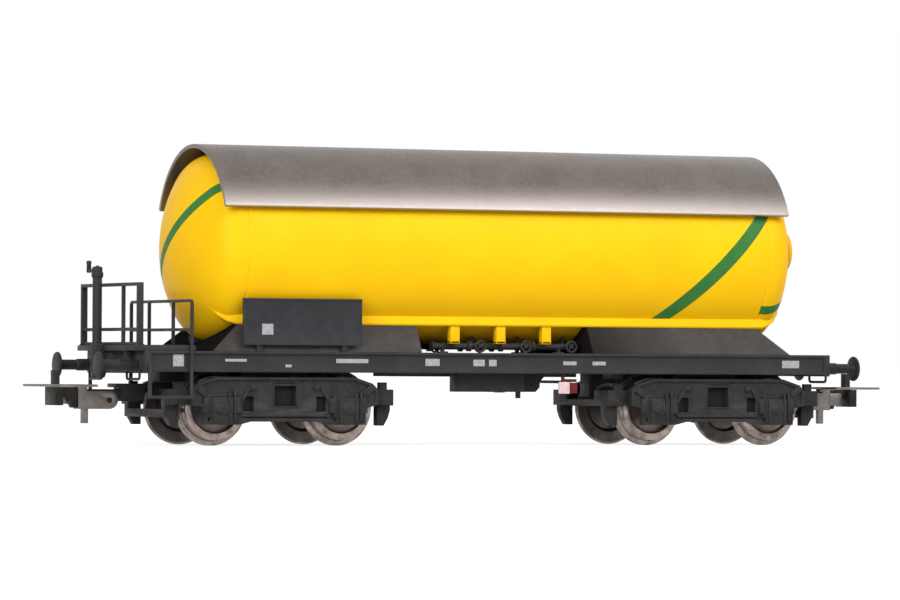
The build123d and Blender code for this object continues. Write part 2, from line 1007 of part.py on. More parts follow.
def outer_end_beam():
    """The outer beam's two ends, joined by a low bar that passes below the coupler."""
    stub = block(
        (beam_inner_x, beam_outer_x),
        (beam_stub_inner_y, beam_half_width),
        (beam_bottom, beam_top),
    )
    beam = block(
        (beam_outer_x - low_bar_depth, beam_outer_x),
        (-shoe_outer_y, shoe_outer_y),
        (low_bar_bottom, low_bar_top),
    )
    for piece in mirrored(stub) + beam_arms():
        beam = beam + piece
    return [beam]


def brake_shoe():
    """Claw-shaped shoe outside the wheel at the +X end, under the end beam, on the +Y side."""
    inner_x = wheelbase / 2 + tread_radius + shoe_gap
    tip_x = inner_x + shoe_tip_thickness
    middle_x = (tip_x + 2 * beam_outer_x) / 3
    outline = [
        (inner_x, beam_bottom + low_bar_depth),
        (inner_x, shoe_bottom),
        (tip_x, shoe_bottom),
        (middle_x, shoe_bottom + shoe_curve_height / 2),
        (beam_outer_x, shoe_bottom + shoe_curve_height),
        (beam_outer_x, beam_bottom + low_bar_depth),
    ]
    return prism_y(outline, (shoe_inner_y, shoe_outer_y))


def pivot_screw(x):
    """Screw that holds a bogie to the frame and lets it turn."""
    head_top = bolster_bottom - bearing_fit
    shank = rod((x, 0, head_top), (x, 0, pivot_pad_bottom - seat_gap), pivot_radius)
    head = rod((x, 0, head_top - pivot_head_thickness), (x, 0, head_top), pivot_head_radius)
    return shank + head


def wheel():
    """The +Y wheel: tread, flange, web and hub, about the Y axis through the axle."""
    profile = [
        (axle_radius, wheel_inner_y),
        (flange_radius - flange_thickness / 2, wheel_inner_y),
        (flange_radius, wheel_inner_y + flange_thickness / 2),
        (tread_radius, wheel_inner_y + flange_thickness),
        (tread_radius, wheel_outer_y),
        (tread_radius - rim_depth, wheel_outer_y),
        (tread_radius - rim_depth, wheel_outer_y - web_recess),
        (hub_radius, wheel_outer_y - web_recess),
        (hub_radius, wheel_outer_y),
        (axle_radius, wheel_outer_y),
    ]
    face = make_face(Polyline(*profile, close=True))
    return Pos(0, 0, tread_radius) * revolve(face, Axis.Y)


def axle():
    shaft = rod((0, -wheel_outer_y, tread_radius), (0, wheel_outer_y, tread_radius), axle_radius)
    journals = rod(
        (0, -axle_length / 2, tread_radius), (0, axle_length / 2, tread_radius), journal_radius
    )
    return shaft + journals


# Couplers, made for the +X end and about its headstock


def coupler_guide():
    """Swinging arm under the frame with the pocket for the coupler."""
    arm = block(
        (coupler_pivot_x - guide_half_width, guide_outer_x),
        (-guide_half_width, guide_half_width),
        (guide_bottom, guide_top),
    )
    pocket = block(
        (pocket_inner_x, pocket_outer_x),
        (-guide_half_width, guide_half_width),
        (pocket_bottom - pocket_wall, guide_bottom),
    )
    slot = block(
        (pocket_inner_x + pocket_wall, pocket_outer_x + pocket_wall),
        (-guide_half_width + pocket_wall, guide_half_width - pocket_wall),
        (pocket_bottom, head_top + shank_fit),
    )
    hole = rod(
        (coupler_pivot_x, 0, guide_bottom - pocket_wall),
        (coupler_pivot_x, 0, guide_top + pocket_wall),
        guide_hole_radius,
    )
    return arm + pocket - slot - hole


def coupler_head():
    """Hook plate with its shank in the pocket, striker block and upright hook tip."""
    shank_y = guide_half_width - pocket_wall - shank_fit
    shank = block(
        (pocket_inner_x + pocket_wall + shank_fit, pocket_outer_x),
        (-shank_y, shank_y),
        (pocket_bottom + shank_fit, head_top),
    )
    outline = [
        (pocket_outer_x - pocket_wall, head_bottom),
        (head_lobe_inner_x, head_bottom),
        (head_lobe_inner_x, head_lobe_bottom),
        (head_lobe_outer_x, head_lobe_bottom),
        (head_lobe_outer_x + head_lobe_slope, head_bottom),
        (head_notch_x, head_bottom),
        (head_notch_x, head_crest_top),
        (head_crest_x, head_crest_top),
        (head_crest_x, head_top),
        (pocket_outer_x - pocket_wall, head_top),
    ]
    plate = prism_y(outline, (-head_half_thickness, head_half_thickness))
    front = block(
        (head_notch_x, head_block_outer_x),
        (-head_block_half_width, head_block_half_width),
        (head_block_bottom, head_crest_top),
    )
    boss = rod(
        (loop_pivot_x, -head_half_thickness, loop_pivot_height),
        (loop_pivot_x, head_half_thickness, loop_pivot_height),
        loop_boss_radius,
    )
    tip = block(
        (head_notch_x, head_notch_x + hook_tip_length),
        (-head_half_thickness, head_half_thickness),
        (head_crest_top, hook_tip_top),
    )
    pin = rod(
        (loop_pivot_x, -head_half_thickness - ear_gap - ear_thickness, loop_pivot_height),
        (loop_pivot_x, head_half_thickness + ear_gap + ear_thickness, loop_pivot_height),
        loop_pin_radius,
    )
    return shank + plate + front + boss + tip + pin


def coupler_loop():
    """Sheet metal loop with its two ears, and the tongue that lifts it."""
    ear_inner = head_half_thickness + ear_gap
    ear_outer = ear_inner + ear_thickness
    ear = block((loop_pivot_x, ear_front_x), (ear_inner, ear_outer), (ear_bottom, ear_top))
    ear = ear + rod(
        (loop_pivot_x, ear_inner, (ear_bottom + ear_top) / 2),
        (loop_pivot_x, ear_outer, (ear_bottom + ear_top) / 2),
        (ear_top - ear_bottom) / 2,
    )
    riser = block(
        (loop_rear_x, ear_front_x),
        (ear_inner, ear_outer),
        (ear_bottom, loop_plane_height + loop_bar_thickness),
    )
    ear = ear + riser
    ear = ear - rod(
        (loop_pivot_x, ear_inner - ear_thickness, loop_pivot_height),
        (loop_pivot_x, ear_outer + ear_thickness, loop_pivot_height),
        loop_pin_radius + loop_pin_fit,
    )
    top = (loop_plane_height, loop_plane_height + loop_bar_thickness)
    ring = block((loop_rear_x, loop_tip_x), (-loop_half_width, loop_half_width), top)
    window = block(
        (loop_rear_x + loop_bar_width, loop_tip_x - loop_bar_width),
        (-loop_half_width + loop_bar_width, loop_half_width - loop_bar_width),
        (top[0] - loop_bar_thickness, top[1] + loop_bar_thickness),
    )
    loop = ring - window
    for side in mirrored(ear):
        loop = loop + side
    loop = loop + block(
        span(tongue_x, tongue_width),
        (-ear_outer, ear_outer),
        (ear_bottom, ear_bottom + loop_bar_thickness),
    )
    return loop + block(
        span(tongue_x, tongue_width),
        span(0, tongue_width),
        (tongue_bottom, ear_bottom),
    )


def all_parts():
    """Every node's name with its solids."""
    parts = {
        "underframe": [underframe()],
        "tank_shell": [tank_shell()],
        "tank_manhole": [manhole()],
        "sun_shield": [sun_shield()],
        "shield_straps": shield_straps(),
        "saddle_brake_end": [saddle(-1)],
        "saddle_plain_end": [saddle(1)],
        "lettering_board_near": [lettering_board()],
        "lettering_board_far": [turned(lettering_board(), tank_middle_x)],
        "platform": [platform()],
        "railing_outer": [outer_railing()],
        "railing_inner": [inner_railing()],
        "handbrake_column": [handbrake_column()],
        "handbrake_crank": [handbrake_crank()],
        "footsteps": mirrored(footstep()),
        "brake_reservoir": [brake_reservoir()],
        "brake_upright": [brake_upright()],
        "lever_bracket": [lever_bracket()],
        "lever_plate": [lever_plate()],
        "valve_pipes": mirrored(valve_pipes()),
    }
    for side_x, end in ((-1, "brake_end"), (1, "plain_end")):
        parts["buffers_" + end] = [buffer(side_x, side_y) for side_y in (-1, 1)]
        parts["grab_irons_" + end] = [grab_iron(side_x, side_y) for side_y in (-1, 1)]
        for part, piece in (
            ("guide", coupler_guide()),
            ("head", coupler_head()),
            ("loop", coupler_loop()),
        ):
            piece = Pos(frame_half_length, 0, 0) * piece
            parts[f"coupler_{part}_{end}"] = [piece if side_x > 0 else turned(piece)]
    for number, x in bogie_places.items():
        name = f"bogie_{number}_"
        here = Pos(x, 0, 0)
        far, near = mirrored(side_frame())
        parts[name + "side_near"] = [here * near]
        parts[name + "side_far"] = [here * far]
        parts[name + "bolster"] = [here * bolster()]
        inner, outer = inner_end_beam(), outer_end_beam()
        if x > tank_middle_x:
            inner = [turned(piece) for piece in inner]
        else:
            outer = [turned(piece) for piece in outer]
        parts[name + "beam_inner"] = [here * piece for piece in inner]
        parts[name + "beams_outer"] = [here * piece for piece in outer]
        parts[name + "pivot"] = [pivot_screw(x)]
        for place_number, side in ((1, -1), (2, 1)):
            there = Pos(x + side * wheelbase / 2, 0, 0)
            key = f"{name}wheelset_{place_number}_"
            parts[key + "wheels"] = [there * piece for piece in mirrored(wheel())]
            parts[key + "axle"] = [there * axle()]
    return parts


os.makedirs("parts", exist_ok=True)
stand = Pos(0, 0, flange_height)
for node, solids in all_parts().items():
    export_step(Compound(children=[stand * solid for solid in solids]), f"parts/{node}.step")
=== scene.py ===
import json
from math import asin, atan2, cos, pi, radians, sin, sqrt

import bmesh
import bpy
from mathutils import Matrix, Vector

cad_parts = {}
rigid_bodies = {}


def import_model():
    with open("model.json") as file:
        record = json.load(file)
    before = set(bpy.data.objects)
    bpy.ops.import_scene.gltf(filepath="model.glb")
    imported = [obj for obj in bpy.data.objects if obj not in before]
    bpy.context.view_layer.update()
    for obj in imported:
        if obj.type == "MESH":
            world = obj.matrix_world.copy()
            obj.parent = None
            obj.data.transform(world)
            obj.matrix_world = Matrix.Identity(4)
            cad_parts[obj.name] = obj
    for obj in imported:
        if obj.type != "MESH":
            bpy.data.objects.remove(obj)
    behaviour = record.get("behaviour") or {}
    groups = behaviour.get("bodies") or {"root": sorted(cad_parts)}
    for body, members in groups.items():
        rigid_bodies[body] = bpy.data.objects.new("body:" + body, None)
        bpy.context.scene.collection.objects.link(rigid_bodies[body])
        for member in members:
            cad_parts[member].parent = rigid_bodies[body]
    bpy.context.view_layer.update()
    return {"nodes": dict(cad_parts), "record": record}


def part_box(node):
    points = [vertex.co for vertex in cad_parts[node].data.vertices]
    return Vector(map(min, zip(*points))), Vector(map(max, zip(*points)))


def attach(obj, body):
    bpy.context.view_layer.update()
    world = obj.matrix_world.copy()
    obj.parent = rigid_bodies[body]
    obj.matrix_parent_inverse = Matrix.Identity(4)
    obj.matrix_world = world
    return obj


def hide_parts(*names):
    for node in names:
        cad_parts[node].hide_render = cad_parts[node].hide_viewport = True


# Model railway tank car, dressed around its frame. Sizes are millimetres. X runs along the car,
# with the platform at its low end, and heights are counted from the floor under the flanges.

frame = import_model()

MM = 0.001
merge_gap = 0.002
rail_top = 0.9
seat = 0.1
car_ends = {"brake_end": -1, "plain_end": 1}


def limits(node):
    """A node's lowest and highest place along X, Y and Z."""
    low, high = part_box(node)
    return [(low[axis] / MM, high[axis] / MM) for axis in range(3)]


def middle(pair):
    return (pair[0] + pair[1]) / 2


def about(place, length):
    """A pair of limits, length apart, about a place."""
    return (place - length / 2, place + length / 2)


def over_rail(*heights):
    """Heights above the rail top, counted from the floor."""
    return [height + rail_top for height in heights]


# Making pieces

ways = {
    "X": (Vector((1, 0, 0)), Vector((0, 0, 1))),
    "Y": (Vector((0, 1, 0)), Vector((0, 0, 1))),
    "Z": (Vector((0, 0, 1)), Vector((1, 0, 0))),
}


def choose(*pieces):
    bpy.ops.object.select_all(action="DESELECT")
    for piece in pieces:
        piece.select_set(True)
    bpy.context.view_layer.objects.active = pieces[0]


def edit(piece):
    choose(piece)
    bpy.ops.object.mode_set(mode="EDIT")
    bpy.ops.mesh.select_mode(type="VERT")
    bpy.ops.mesh.select_all(action="SELECT")


def leave():
    bpy.ops.object.mode_set(mode="OBJECT")
    return bpy.context.object


def merge_doubles():
    bpy.ops.mesh.select_all(action="SELECT")
    bpy.ops.mesh.remove_doubles(threshold=merge_gap * MM)


def close_up():
    """Merges doubles, turns the faces outwards and leaves edit mode."""
    merge_doubles()
    bpy.ops.mesh.normals_make_consistent(inside=False)
    return leave()


def pick_faces(test):
    """Selects the faces whose middle, in millimetres, and normal pass the test."""
    bpy.ops.mesh.select_all(action="DESELECT")
    bpy.ops.mesh.select_mode(type="FACE")
    mesh = bmesh.from_edit_mesh(bpy.context.object.data)
    for face in mesh.faces:
        face.select_set(test(face.calc_center_median() / MM, face.normal))
    bmesh.update_edit_mesh(bpy.context.object.data)


def block(x, y, z, soft=0.1, rounds=2):
    """A block between three pairs of limits, with rounded edges."""
    sizes = [(pair[1] - pair[0]) * MM for pair in (x, y, z)]
    place = [middle(pair) * MM for pair in (x, y, z)]
    bpy.ops.mesh.primitive_cube_add(size=1, location=place, scale=sizes)
    bpy.ops.object.transform_apply(location=True, rotation=False, scale=True)
    if soft:
        edit(bpy.context.object)
        bpy.ops.mesh.bevel(offset=soft * MM, segments=rounds, affect="EDGES")
        leave()
    return bpy.context.object


def pull(step):
    bpy.ops.mesh.extrude_region_move(TRANSFORM_OT_translate={"value": step})


def drawn(points, loop=False):
    """A line of edges through the points, pulled out point by point."""
    bpy.ops.mesh.primitive_plane_add(size=MM)
    edit(bpy.context.object)
    bpy.ops.mesh.merge(type="CENTER")
    bpy.ops.transform.translate(value=Vector(points[0]) * MM)
    last = points[0]
    for point in list(points[1:]) + ([points[0]] if loop else []):
        pull((Vector(point) - Vector(last)) * MM)
        last = point
    merge_doubles()
    return bpy.context.object


def plate(points, across, depth, soft=0.0):
    """A flat outline across an axis, pushed along it from the first depth to the second."""
    order = {"X": lambda a, b: (depth[0], a, b), "Y": lambda a, b: (a, depth[0], b)}
    put = order.get(across, lambda a, b: (a, b, depth[0]))
    drawn([put(a, b) for a, b in points], loop=True)
    bpy.ops.mesh.edge_face_add()
    pull(ways[across][0] * (depth[1] - depth[0]) * MM)
    piece = close_up()
    return softened(piece, soft) if soft else piece


def turned(profile, centre, axis, steps=32):
    """A round piece: (place along the axis, radius) points, spun about the axis."""
    along, out = ways[axis]
    start = Vector(centre)
    drawn([start + along * place + out * radius for place, radius in profile])
    bpy.ops.mesh.spin(steps=steps, angle=2 * pi, center=start * MM, axis=along)
    return close_up()


def wire(points, radius, bend=0.0, sides=2):
    """A round bar along the points, its corners bent to a radius."""
    drawn(points)
    if bend:
        mesh = bmesh.from_edit_mesh(bpy.context.object.data)
        for corner in mesh.verts:
            corner.select_set(len(corner.link_edges) == 2)
        mesh.select_flush(False)
        bpy.ops.mesh.bevel(offset=bend * MM, segments=4, affect="VERTICES")
    leave()
    bpy.ops.object.convert(target="CURVE")
    line = bpy.context.object.data
    line.bevel_depth = radius * MM
    line.bevel_resolution = sides
    line.use_fill_caps = True
    bpy.ops.object.convert(target="MESH")
    edit(bpy.context.object)
    return close_up()


def modified(piece, kind, **settings):
    """The piece with one modifier set and applied."""
    choose(piece)
    modifier = piece.modifiers.new(kind.lower(), kind)
    for name, value in settings.items():
        setattr(modifier, name, value)
    bpy.ops.object.modifier_apply(modifier=modifier.name)
    return piece


def softened(piece, width, rounds=2, angle=30):
    """The piece with its sharp edges rounded."""
    limit = {"limit_method": "ANGLE", "angle_limit": radians(angle)}
    return modified(piece, "BEVEL", width=width * MM, segments=rounds, **limit)


def carved(piece, x, y, z):
    """Cuts a block between three pairs of limits out of a piece."""
    cut = block(x, y, z, 0)
    modified(piece, "BOOLEAN", object=cut, operation="DIFFERENCE", solver="EXACT")
    bpy.data.objects.remove(cut)


def joined(*pieces):
    choose(*pieces)
    bpy.ops.object.join()
    return bpy.context.object


def copy_of(piece, shift=(0, 0, 0), flip=(1, 1, 1), centre=(0, 0, 0)):
    """A copy, flipped about a centre and then shifted. One flipped axis alone mirrors it."""
    choose(piece)
    bpy.ops.object.duplicate()
    edit(bpy.context.object)
    if tuple(flip) != (1, 1, 1):
        bpy.ops.transform.resize(value=flip, center_override=Vector(centre) * MM)
        if flip[0] * flip[1] * flip[2] < 0:
            bpy.ops.mesh.flip_normals()
    bpy.ops.transform.translate(value=Vector(shift) * MM)
    return leave()


def both_sides(piece):
    """The piece and its mirror image across the car, as one."""
    return joined(piece, copy_of(piece, flip=(1, -1, 1)))


def half_turned(piece, x=0):
    """A copy turned half way round about the upright line at x."""
    return copy_of(piece, flip=(-1, -1, 1), centre=(x, 0, 0))


def repeated(piece, places):
    """A piece made at the first place, copied to the others, as one mesh."""
    edit(piece)
    last = places[0]
    for place in places[1:]:
        step = (Vector(place) - Vector(last)) * MM
        bpy.ops.mesh.duplicate_move(TRANSFORM_OT_translate={"value": step})
        last = place
    return leave()


def bolts(places, axis, radius, height):
    """Hexagon bolt heads on the places, standing along the axis."""
    size = abs(height)
    ends = [(0, radius * 1.2), (0.3, radius * 1.2), (0.3, radius), (0.85, radius), (1, radius * 0.7)]
    sign = 1 if height > 0 else -1
    profile = [(sign * size * share, r) for share, r in ends] + [(height, 0)]
    return repeated(turned(profile, places[0], axis, steps=6), places)


def handwheel(centre, radius, spokes=4):
    """A valve wheel: rim, spokes and hub, facing along Y."""
    along, out = ways["Y"]
    side = along.cross(out)
    rim_bar = radius * 0.16
    turn = (pi / 2, 0, 0)
    radii = {"major_radius": (radius - rim_bar) * MM, "minor_radius": rim_bar * MM}
    bpy.ops.mesh.primitive_torus_add(
        location=Vector(centre) * MM, rotation=turn, major_segments=24, minor_segments=8, **radii
    )
    bpy.ops.object.transform_apply(location=True, rotation=True, scale=True)
    pieces = [bpy.context.object]
    for number in range(spokes):
        angle = 2 * pi * number / spokes + pi / 4
        tip = Vector(centre) + (out * cos(angle) + side * sin(angle)) * (radius - rim_bar)
        pieces += [wire([centre, tip], rim_bar * 0.6, sides=1)]
    hub = [(-rim_bar, 0), (-rim_bar, rim_bar * 1.8), (rim_bar, rim_bar * 1.8)]
    hub += [(rim_bar * 1.6, rim_bar), (rim_bar * 1.6, 0)]
    pieces += [turned(hub, centre, "Y", steps=10)]
    return joined(*pieces)


def copy_of_node(node, width=0.08, rounds=2):
    """A node's own form with its edges rounded."""
    choose(frame["nodes"][node])
    bpy.ops.object.duplicate()
    bpy.ops.object.parent_clear(type="CLEAR_KEEP_TRANSFORM")
    piece = bpy.context.object
    for key in list(piece.keys()):
        del piece[key]
    edit(piece)
    merge_doubles()
    bpy.ops.mesh.dissolve_limited(angle_limit=radians(1))
    leave()
    return softened(piece, width, rounds)


# Finishes


def new_finish(name, roughness, metallic=0.0, sheen=0.5):
    finish = bpy.data.materials.new(name)
    finish.use_nodes = True
    shader = finish.node_tree.nodes["Principled BSDF"]
    shader.inputs["Roughness"].default_value = roughness
    shader.inputs["Metallic"].default_value = metallic
    shader.inputs["Specular IOR Level"].default_value = sheen
    return finish


def node_of(finish, kind, inputs, output=0, **settings):
    """Adds a node to a finish or world. An input is a value or another node's output."""
    node = finish.node_tree.nodes.new(kind)
    for name, value in settings.items():
        setattr(node, name, value)
    for key, value in inputs.items():
        if isinstance(value, bpy.types.NodeSocket):
            finish.node_tree.links.new(value, node.inputs[key])
        else:
            node.inputs[key].default_value = value
    return node.outputs[output]


def feed(finish, socket, value):
    shader = finish.node_tree.nodes["Principled BSDF"]
    finish.node_tree.links.new(value, shader.inputs[socket])


def place_on(finish):
    return node_of(finish, "ShaderNodeTexCoord", {}, "Object")


def normal_of(finish):
    return node_of(finish, "ShaderNodeNewGeometry", {}, "Normal")


def along(finish, vector, way):
    """A vector's length along an axis."""
    return node_of(finish, "ShaderNodeSeparateXYZ", {"Vector": vector}, "XYZ".index(way))


def combined(finish, rule, first, second):
    return node_of(finish, "ShaderNodeMath", {0: first, 1: second}, operation=rule)


def grain(finish, size, stretch=(1, 1, 1), detail=4.0):
    """Noise with features of about the size given, drawn out along the axes."""
    shares = [1 / share for share in stretch]
    place = node_of(finish, "ShaderNodeMapping", {"Vector": place_on(finish), "Scale": shares})
    wanted = {"Vector": place, "Scale": 1 / (size * MM), "Detail": detail}
    return node_of(finish, "ShaderNodeTexNoise", wanted)


def spread(finish, value, low, high, start=0.35, end=0.65):
    """A value's middle range drawn out to low and high."""
    wanted = {"Value": value, "From Min": start, "From Max": end, "To Min": low, "To Max": high}
    return node_of(finish, "ShaderNodeMapRange", wanted)


def blended(finish, share, first, second):
    """Two colours blended by a share."""
    colours = [c if isinstance(c, bpy.types.NodeSocket) else (*c, 1) for c in (first, second)]
    wanted = {0: share, 6: colours[0], 7: colours[1]}
    return node_of(finish, "ShaderNodeMix", wanted, 2, data_type="RGBA")


def facing(finish, way, start, end):
    """Share that grows from 0 to 1 as a surface turns along an axis."""
    return spread(finish, along(finish, normal_of(finish), way), 0, 1, start, end)


def at_height(finish, start, end):
    """Share that goes from 0 to 1 between two heights in millimetres."""
    return spread(finish, along(finish, place_on(finish), "Z"), 0, 1, start * MM, end * MM)


def roughened(finish, height, depth):
    """Bumps of the given depth."""
    wanted = {"Height": height, "Strength": 1.0, "Distance": depth * MM}
    feed(finish, "Normal", node_of(finish, "ShaderNodeBump", wanted))


def painted(name, colour, shade, size, gloss, sheen=0.12, depth=0.006, dust=0.0):
    """A sprayed or moulded surface: two near shades in soft patches, uneven gloss and fine grain."""
    finish = new_finish(name, gloss[0], sheen=sheen)
    patches = grain(finish, size)
    hue = blended(finish, spread(finish, patches, 0, 1), colour, shade)
    if dust:
        upwards = facing(finish, "Z", 0.2, 0.95)
        thickness = spread(finish, grain(finish, dust_grain), 0, dust)
        hue = blended(finish, combined(finish, "MULTIPLY", upwards, thickness), hue, dust_colour)
    feed(finish, "Base Color", hue)
    feed(finish, "Roughness", spread(finish, grain(finish, size / 3), *gloss))
    roughened(finish, grain(finish, fine_grain, detail=2), depth)
    return finish


fine_grain = 0.22
dust_grain = 1.4
dust_colour = (0.28, 0.26, 0.23)


def shield_paint():
    """Bronze-grey metallic paint, fine flakes, a faint cloudy spray and a painted highlight along its
    lower edges.
    """
    finish = new_finish("shield_grey", 0.36, 0.92)
    cloud = blended(finish, spread(finish, grain(finish, 6), 0, 1), shield_dark, shield_light)
    edge = limits("sun_shield")[2][0]
    # Painted highlight: paler towards the lower edges
    cloud = blended(finish, at_height(finish, edge + 4.8, edge), cloud, shield_edge_highlight)
    flakes = spread(finish, grain(finish, 0.2, detail=1), 0, 1, 0.54, 0.72)
    feed(finish, "Base Color", blended(finish, flakes, cloud, shield_flake))
    feed(finish, "Roughness", spread(finish, grain(finish, 0.4), 0.32, 0.42))
    roughened(finish, grain(finish, 0.3, detail=2), 0.003)
    return finish


# The painted highlight colour of the lower edges, then the spray's two tones and the flakes
shield_edge_highlight = (0.295, 0.263, 0.247)
shield_dark = (0.155, 0.131, 0.114)
shield_light = (0.19, 0.163, 0.145)
shield_flake = (0.26, 0.23, 0.21)


def turned_metal(name, colour, shade, gloss):
    """Darkened metal with fine turning lines across its width and brown patches."""
    finish = new_finish(name, gloss[0], 0.85)
    lines = grain(finish, 0.12, stretch=(30, 1, 30), detail=2)
    patches = grain(finish, 1.6)
    hue = blended(finish, spread(finish, patches, 0, 1), colour, shade)
    hue = blended(finish, spread(finish, lines, 0, 0.35), hue, tuple(c * 1.5 for c in colour))
    feed(finish, "Base Color", hue)
    feed(finish, "Roughness", spread(finish, patches, *gloss))
    roughened(finish, lines, 0.008)
    return finish


def recoloured(finish, share, colour):
    """Blends a finish's own colour towards another by a share."""
    base = finish.node_tree.nodes["Principled BSDF"].inputs["Base Color"].links[0].from_socket
    feed(finish, "Base Color", blended(finish, share, base, colour))
    return finish


def web_metal():
    """Turned metal, darker and browner on a wheel's inner face than on its outer face: painted shade
    inside, painted light outside.
    """
    finish = turned_metal("web_brown", (0.115, 0.1, 0.09), (0.055, 0.047, 0.042), (0.32, 0.46))
    across = [along(finish, vector, "Y") for vector in (normal_of(finish), place_on(finish))]
    outwards = combined(finish, "MULTIPLY", *across)
    return recoloured(finish, spread(finish, outwards, 0, 1, 0, 2 * MM), web_outer_lit)


# Painted light: the paler colour of a wheel's outer face
web_outer_lit = (0.27, 0.232, 0.218)


def saddle_paint():
    """Soft black, paler than the frame's as painted light, and darker and flatter on the slopes that face
    the platform, as painted shade.
    """
    finish = painted("saddle_black", *saddle_lit_tones, 5, black_gloss, dust=0.1)
    slope = facing(finish, "X", -0.05, -0.25)
    feed(finish, "Specular IOR Level", spread(finish, slope, 0.12, 0, 0, 1))
    return recoloured(finish, slope, saddle_slope_shadow)


# Saddle tones painted paler than the frame's black as painted light; the slope colour is painted shade
saddle_lit_tones = (0.046, 0.043, 0.043), (0.058, 0.055, 0.055)
saddle_slope_shadow = (0.012, 0.011, 0.011)
black_gloss = (0.42, 0.58)
enamel = {"sheen": 0.08, "depth": 0.003}
dusty = {"dust": 0.12}
bogie_wear = {"dust": 0.12, "depth": 0.01}
frame_wear = {"dust": 0.12, "depth": 0.008}
# Colour, shade, patch size and gloss, with what differs from plain paint
paints = {
    "tank_yellow": [(0.97, 0.57, 0.005), (0.95, 0.53, 0.005), 9, (0.4, 0.48), enamel],
    "board_black": [(0.026, 0.027, 0.03), (0.033, 0.034, 0.038), 2, (0.4, 0.5), {"depth": 0.004}],
    "plate_pale": [(0.78, 0.56, 0.58), (0.68, 0.47, 0.49), 0.6, (0.45, 0.6), {"depth": 0.004}],
    "coupler_black": [(0.018, 0.017, 0.017), (0.026, 0.025, 0.024), 1.5, black_gloss, dusty],
    "buffer_black": [(0.016, 0.016, 0.017), (0.026, 0.026, 0.027), 1.2, (0.38, 0.55), {"dust": 0.1}],
    "bogie_black": [(0.023, 0.022, 0.023), (0.034, 0.032, 0.033), 1.8, black_gloss, bogie_wear],
    "pipe_grey": [(0.034, 0.033, 0.033), (0.044, 0.043, 0.043), 1.2, black_gloss, dusty],
    "frame_black": [(0.028, 0.028, 0.029), (0.036, 0.035, 0.036), 4, black_gloss, frame_wear],
    "stripe_green": [(0.038, 0.165, 0.036), (0.046, 0.19, 0.045), 2.5, (0.4, 0.48), enamel],
    "patch_pale": [(0.3, 0.31, 0.33), (0.4, 0.41, 0.43), 0.5, (0.5, 0.65), {"depth": 0.003}],
    "lever_red": [(0.12, 0.012, 0.014), (0.16, 0.02, 0.02), 0.8, (0.4, 0.55), {"depth": 0.004}],
    # Painted shadow: the near-black linings in the bogies' windows and pockets
    "painted_shadow_black": [(0.009, 0.0085, 0.0095), (0.014, 0.013, 0.0145), 0.6, (0.6, 0.8), {}],
}
metals = {
    "wheel_metal": [(0.31, 0.255, 0.235), (0.1, 0.08, 0.07), (0.22, 0.36)],
    "loop_metal": [(0.165, 0.147, 0.135), (0.12, 0.104, 0.095), (0.35, 0.5)],
}
finishes = {name: painted(name, *look[:4], **look[4]) for name, look in paints.items()}
finishes.update({name: turned_metal(name, *look) for name, look in metals.items()})
finishes["shield_grey"] = shield_paint()
finishes["saddle_black"] = saddle_paint()
finishes["web_brown"] = web_metal()
slots = {entry["node"]: entry["material_slot"] for entry in frame["record"]["subparts"]}
bodies = frame["record"]["behaviour"]["bodies"]
body_of = {member: body for body, members in bodies.items() for member in members}
for name, node in frame["nodes"].items():
    node.data.materials.clear()
    node.data.materials.append(finishes[slots[name]])


def hung(piece, name, nodes=(), body="wagon", slot=None, finish=None, angle=35):
    """Names and smooths a piece, gives it a finish and hangs it on the nodes' body, or on one named."""
    slot = slot or slots[nodes[0]]
    piece.name = name
    piece.data.name = name
    piece.data.materials.clear()
    piece.data.materials.append(finishes[finish or slot])
    choose(piece)
    bpy.ops.object.shade_smooth_by_angle(angle=radians(angle))
    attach(piece, body_of[nodes[0]] if nodes else body)
    if nodes:
        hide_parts(*nodes)


# Tank

crown_radius = 25.3
knuckle_radius = 4.9
knuckle_steps = 10
crown_steps = 12
seam_width = 0.5
seam_depth = 0.07
tank_box = limits("tank_shell")
tank_radius = tank_box[1][1]
tank_axis = tank_box[2][1] - tank_radius
tank_middle = middle(tank_box[0])
tank_centre = Vector((tank_middle, 0, tank_axis))
tank_half = (tank_box[0][1] - tank_box[0][0]) / 2
crown_back = sqrt((crown_radius - knuckle_radius) ** 2 - (tank_radius - knuckle_radius) ** 2)
straight_half = tank_half - crown_radius + crown_back
meet_angle = atan2(tank_radius - knuckle_radius, crown_back)


def dome_profile():
    """Half of the tank's outline: (place, radius) from its straight part to the end's middle."""
    points = []
    rise = tank_radius - knuckle_radius
    for step in range(knuckle_steps + 1):
        angle = pi / 2 + (meet_angle - pi / 2) * step / knuckle_steps
        points.append((straight_half + knuckle_radius * cos(angle), rise + knuckle_radius * sin(angle)))
    for step in range(1, crown_steps + 1):
        angle = meet_angle * (1 - step / crown_steps)
        points.append((straight_half - crown_back + crown_radius * cos(angle), crown_radius * sin(angle)))
    return points


end_shift = 1.2
end_flatter = 0.94


def tank_profile(flip):
    """The whole outline, with the two seams where the ends are welded on."""
    seam = [
        (straight_half - 2 * seam_width, tank_radius),
        (straight_half - 1.8 * seam_width, tank_radius - seam_depth),
        (straight_half - 1.2 * seam_width, tank_radius - seam_depth),
        (straight_half - seam_width, tank_radius),
    ]
    half = seam + dome_profile()
    long_half = []
    for place, radius in half:
        if place > straight_half:
            place = straight_half + (place - straight_half) * end_flatter
        long_half.append((place + end_shift, radius))
    first, last = (long_half, half) if flip else (half, long_half)
    return [(-place, radius) for place, radius in reversed(first)] + last


def tank_skin(flip=False):
    """The round shell. The plain end's seam lies a little further out than the other."""
    return turned(tank_profile(flip), tank_centre, "X", steps=128)


lip_box_top = 20.95 + rail_top
lip_box_bottom = 19.4 + rail_top
lip_overhang = 0.25
lip_depth = 2.4
foot_spacing = 8.5
foot_width = 1.7
foot_depth = 1.4
foot_outer = 10.9
foot_sole = 0.45
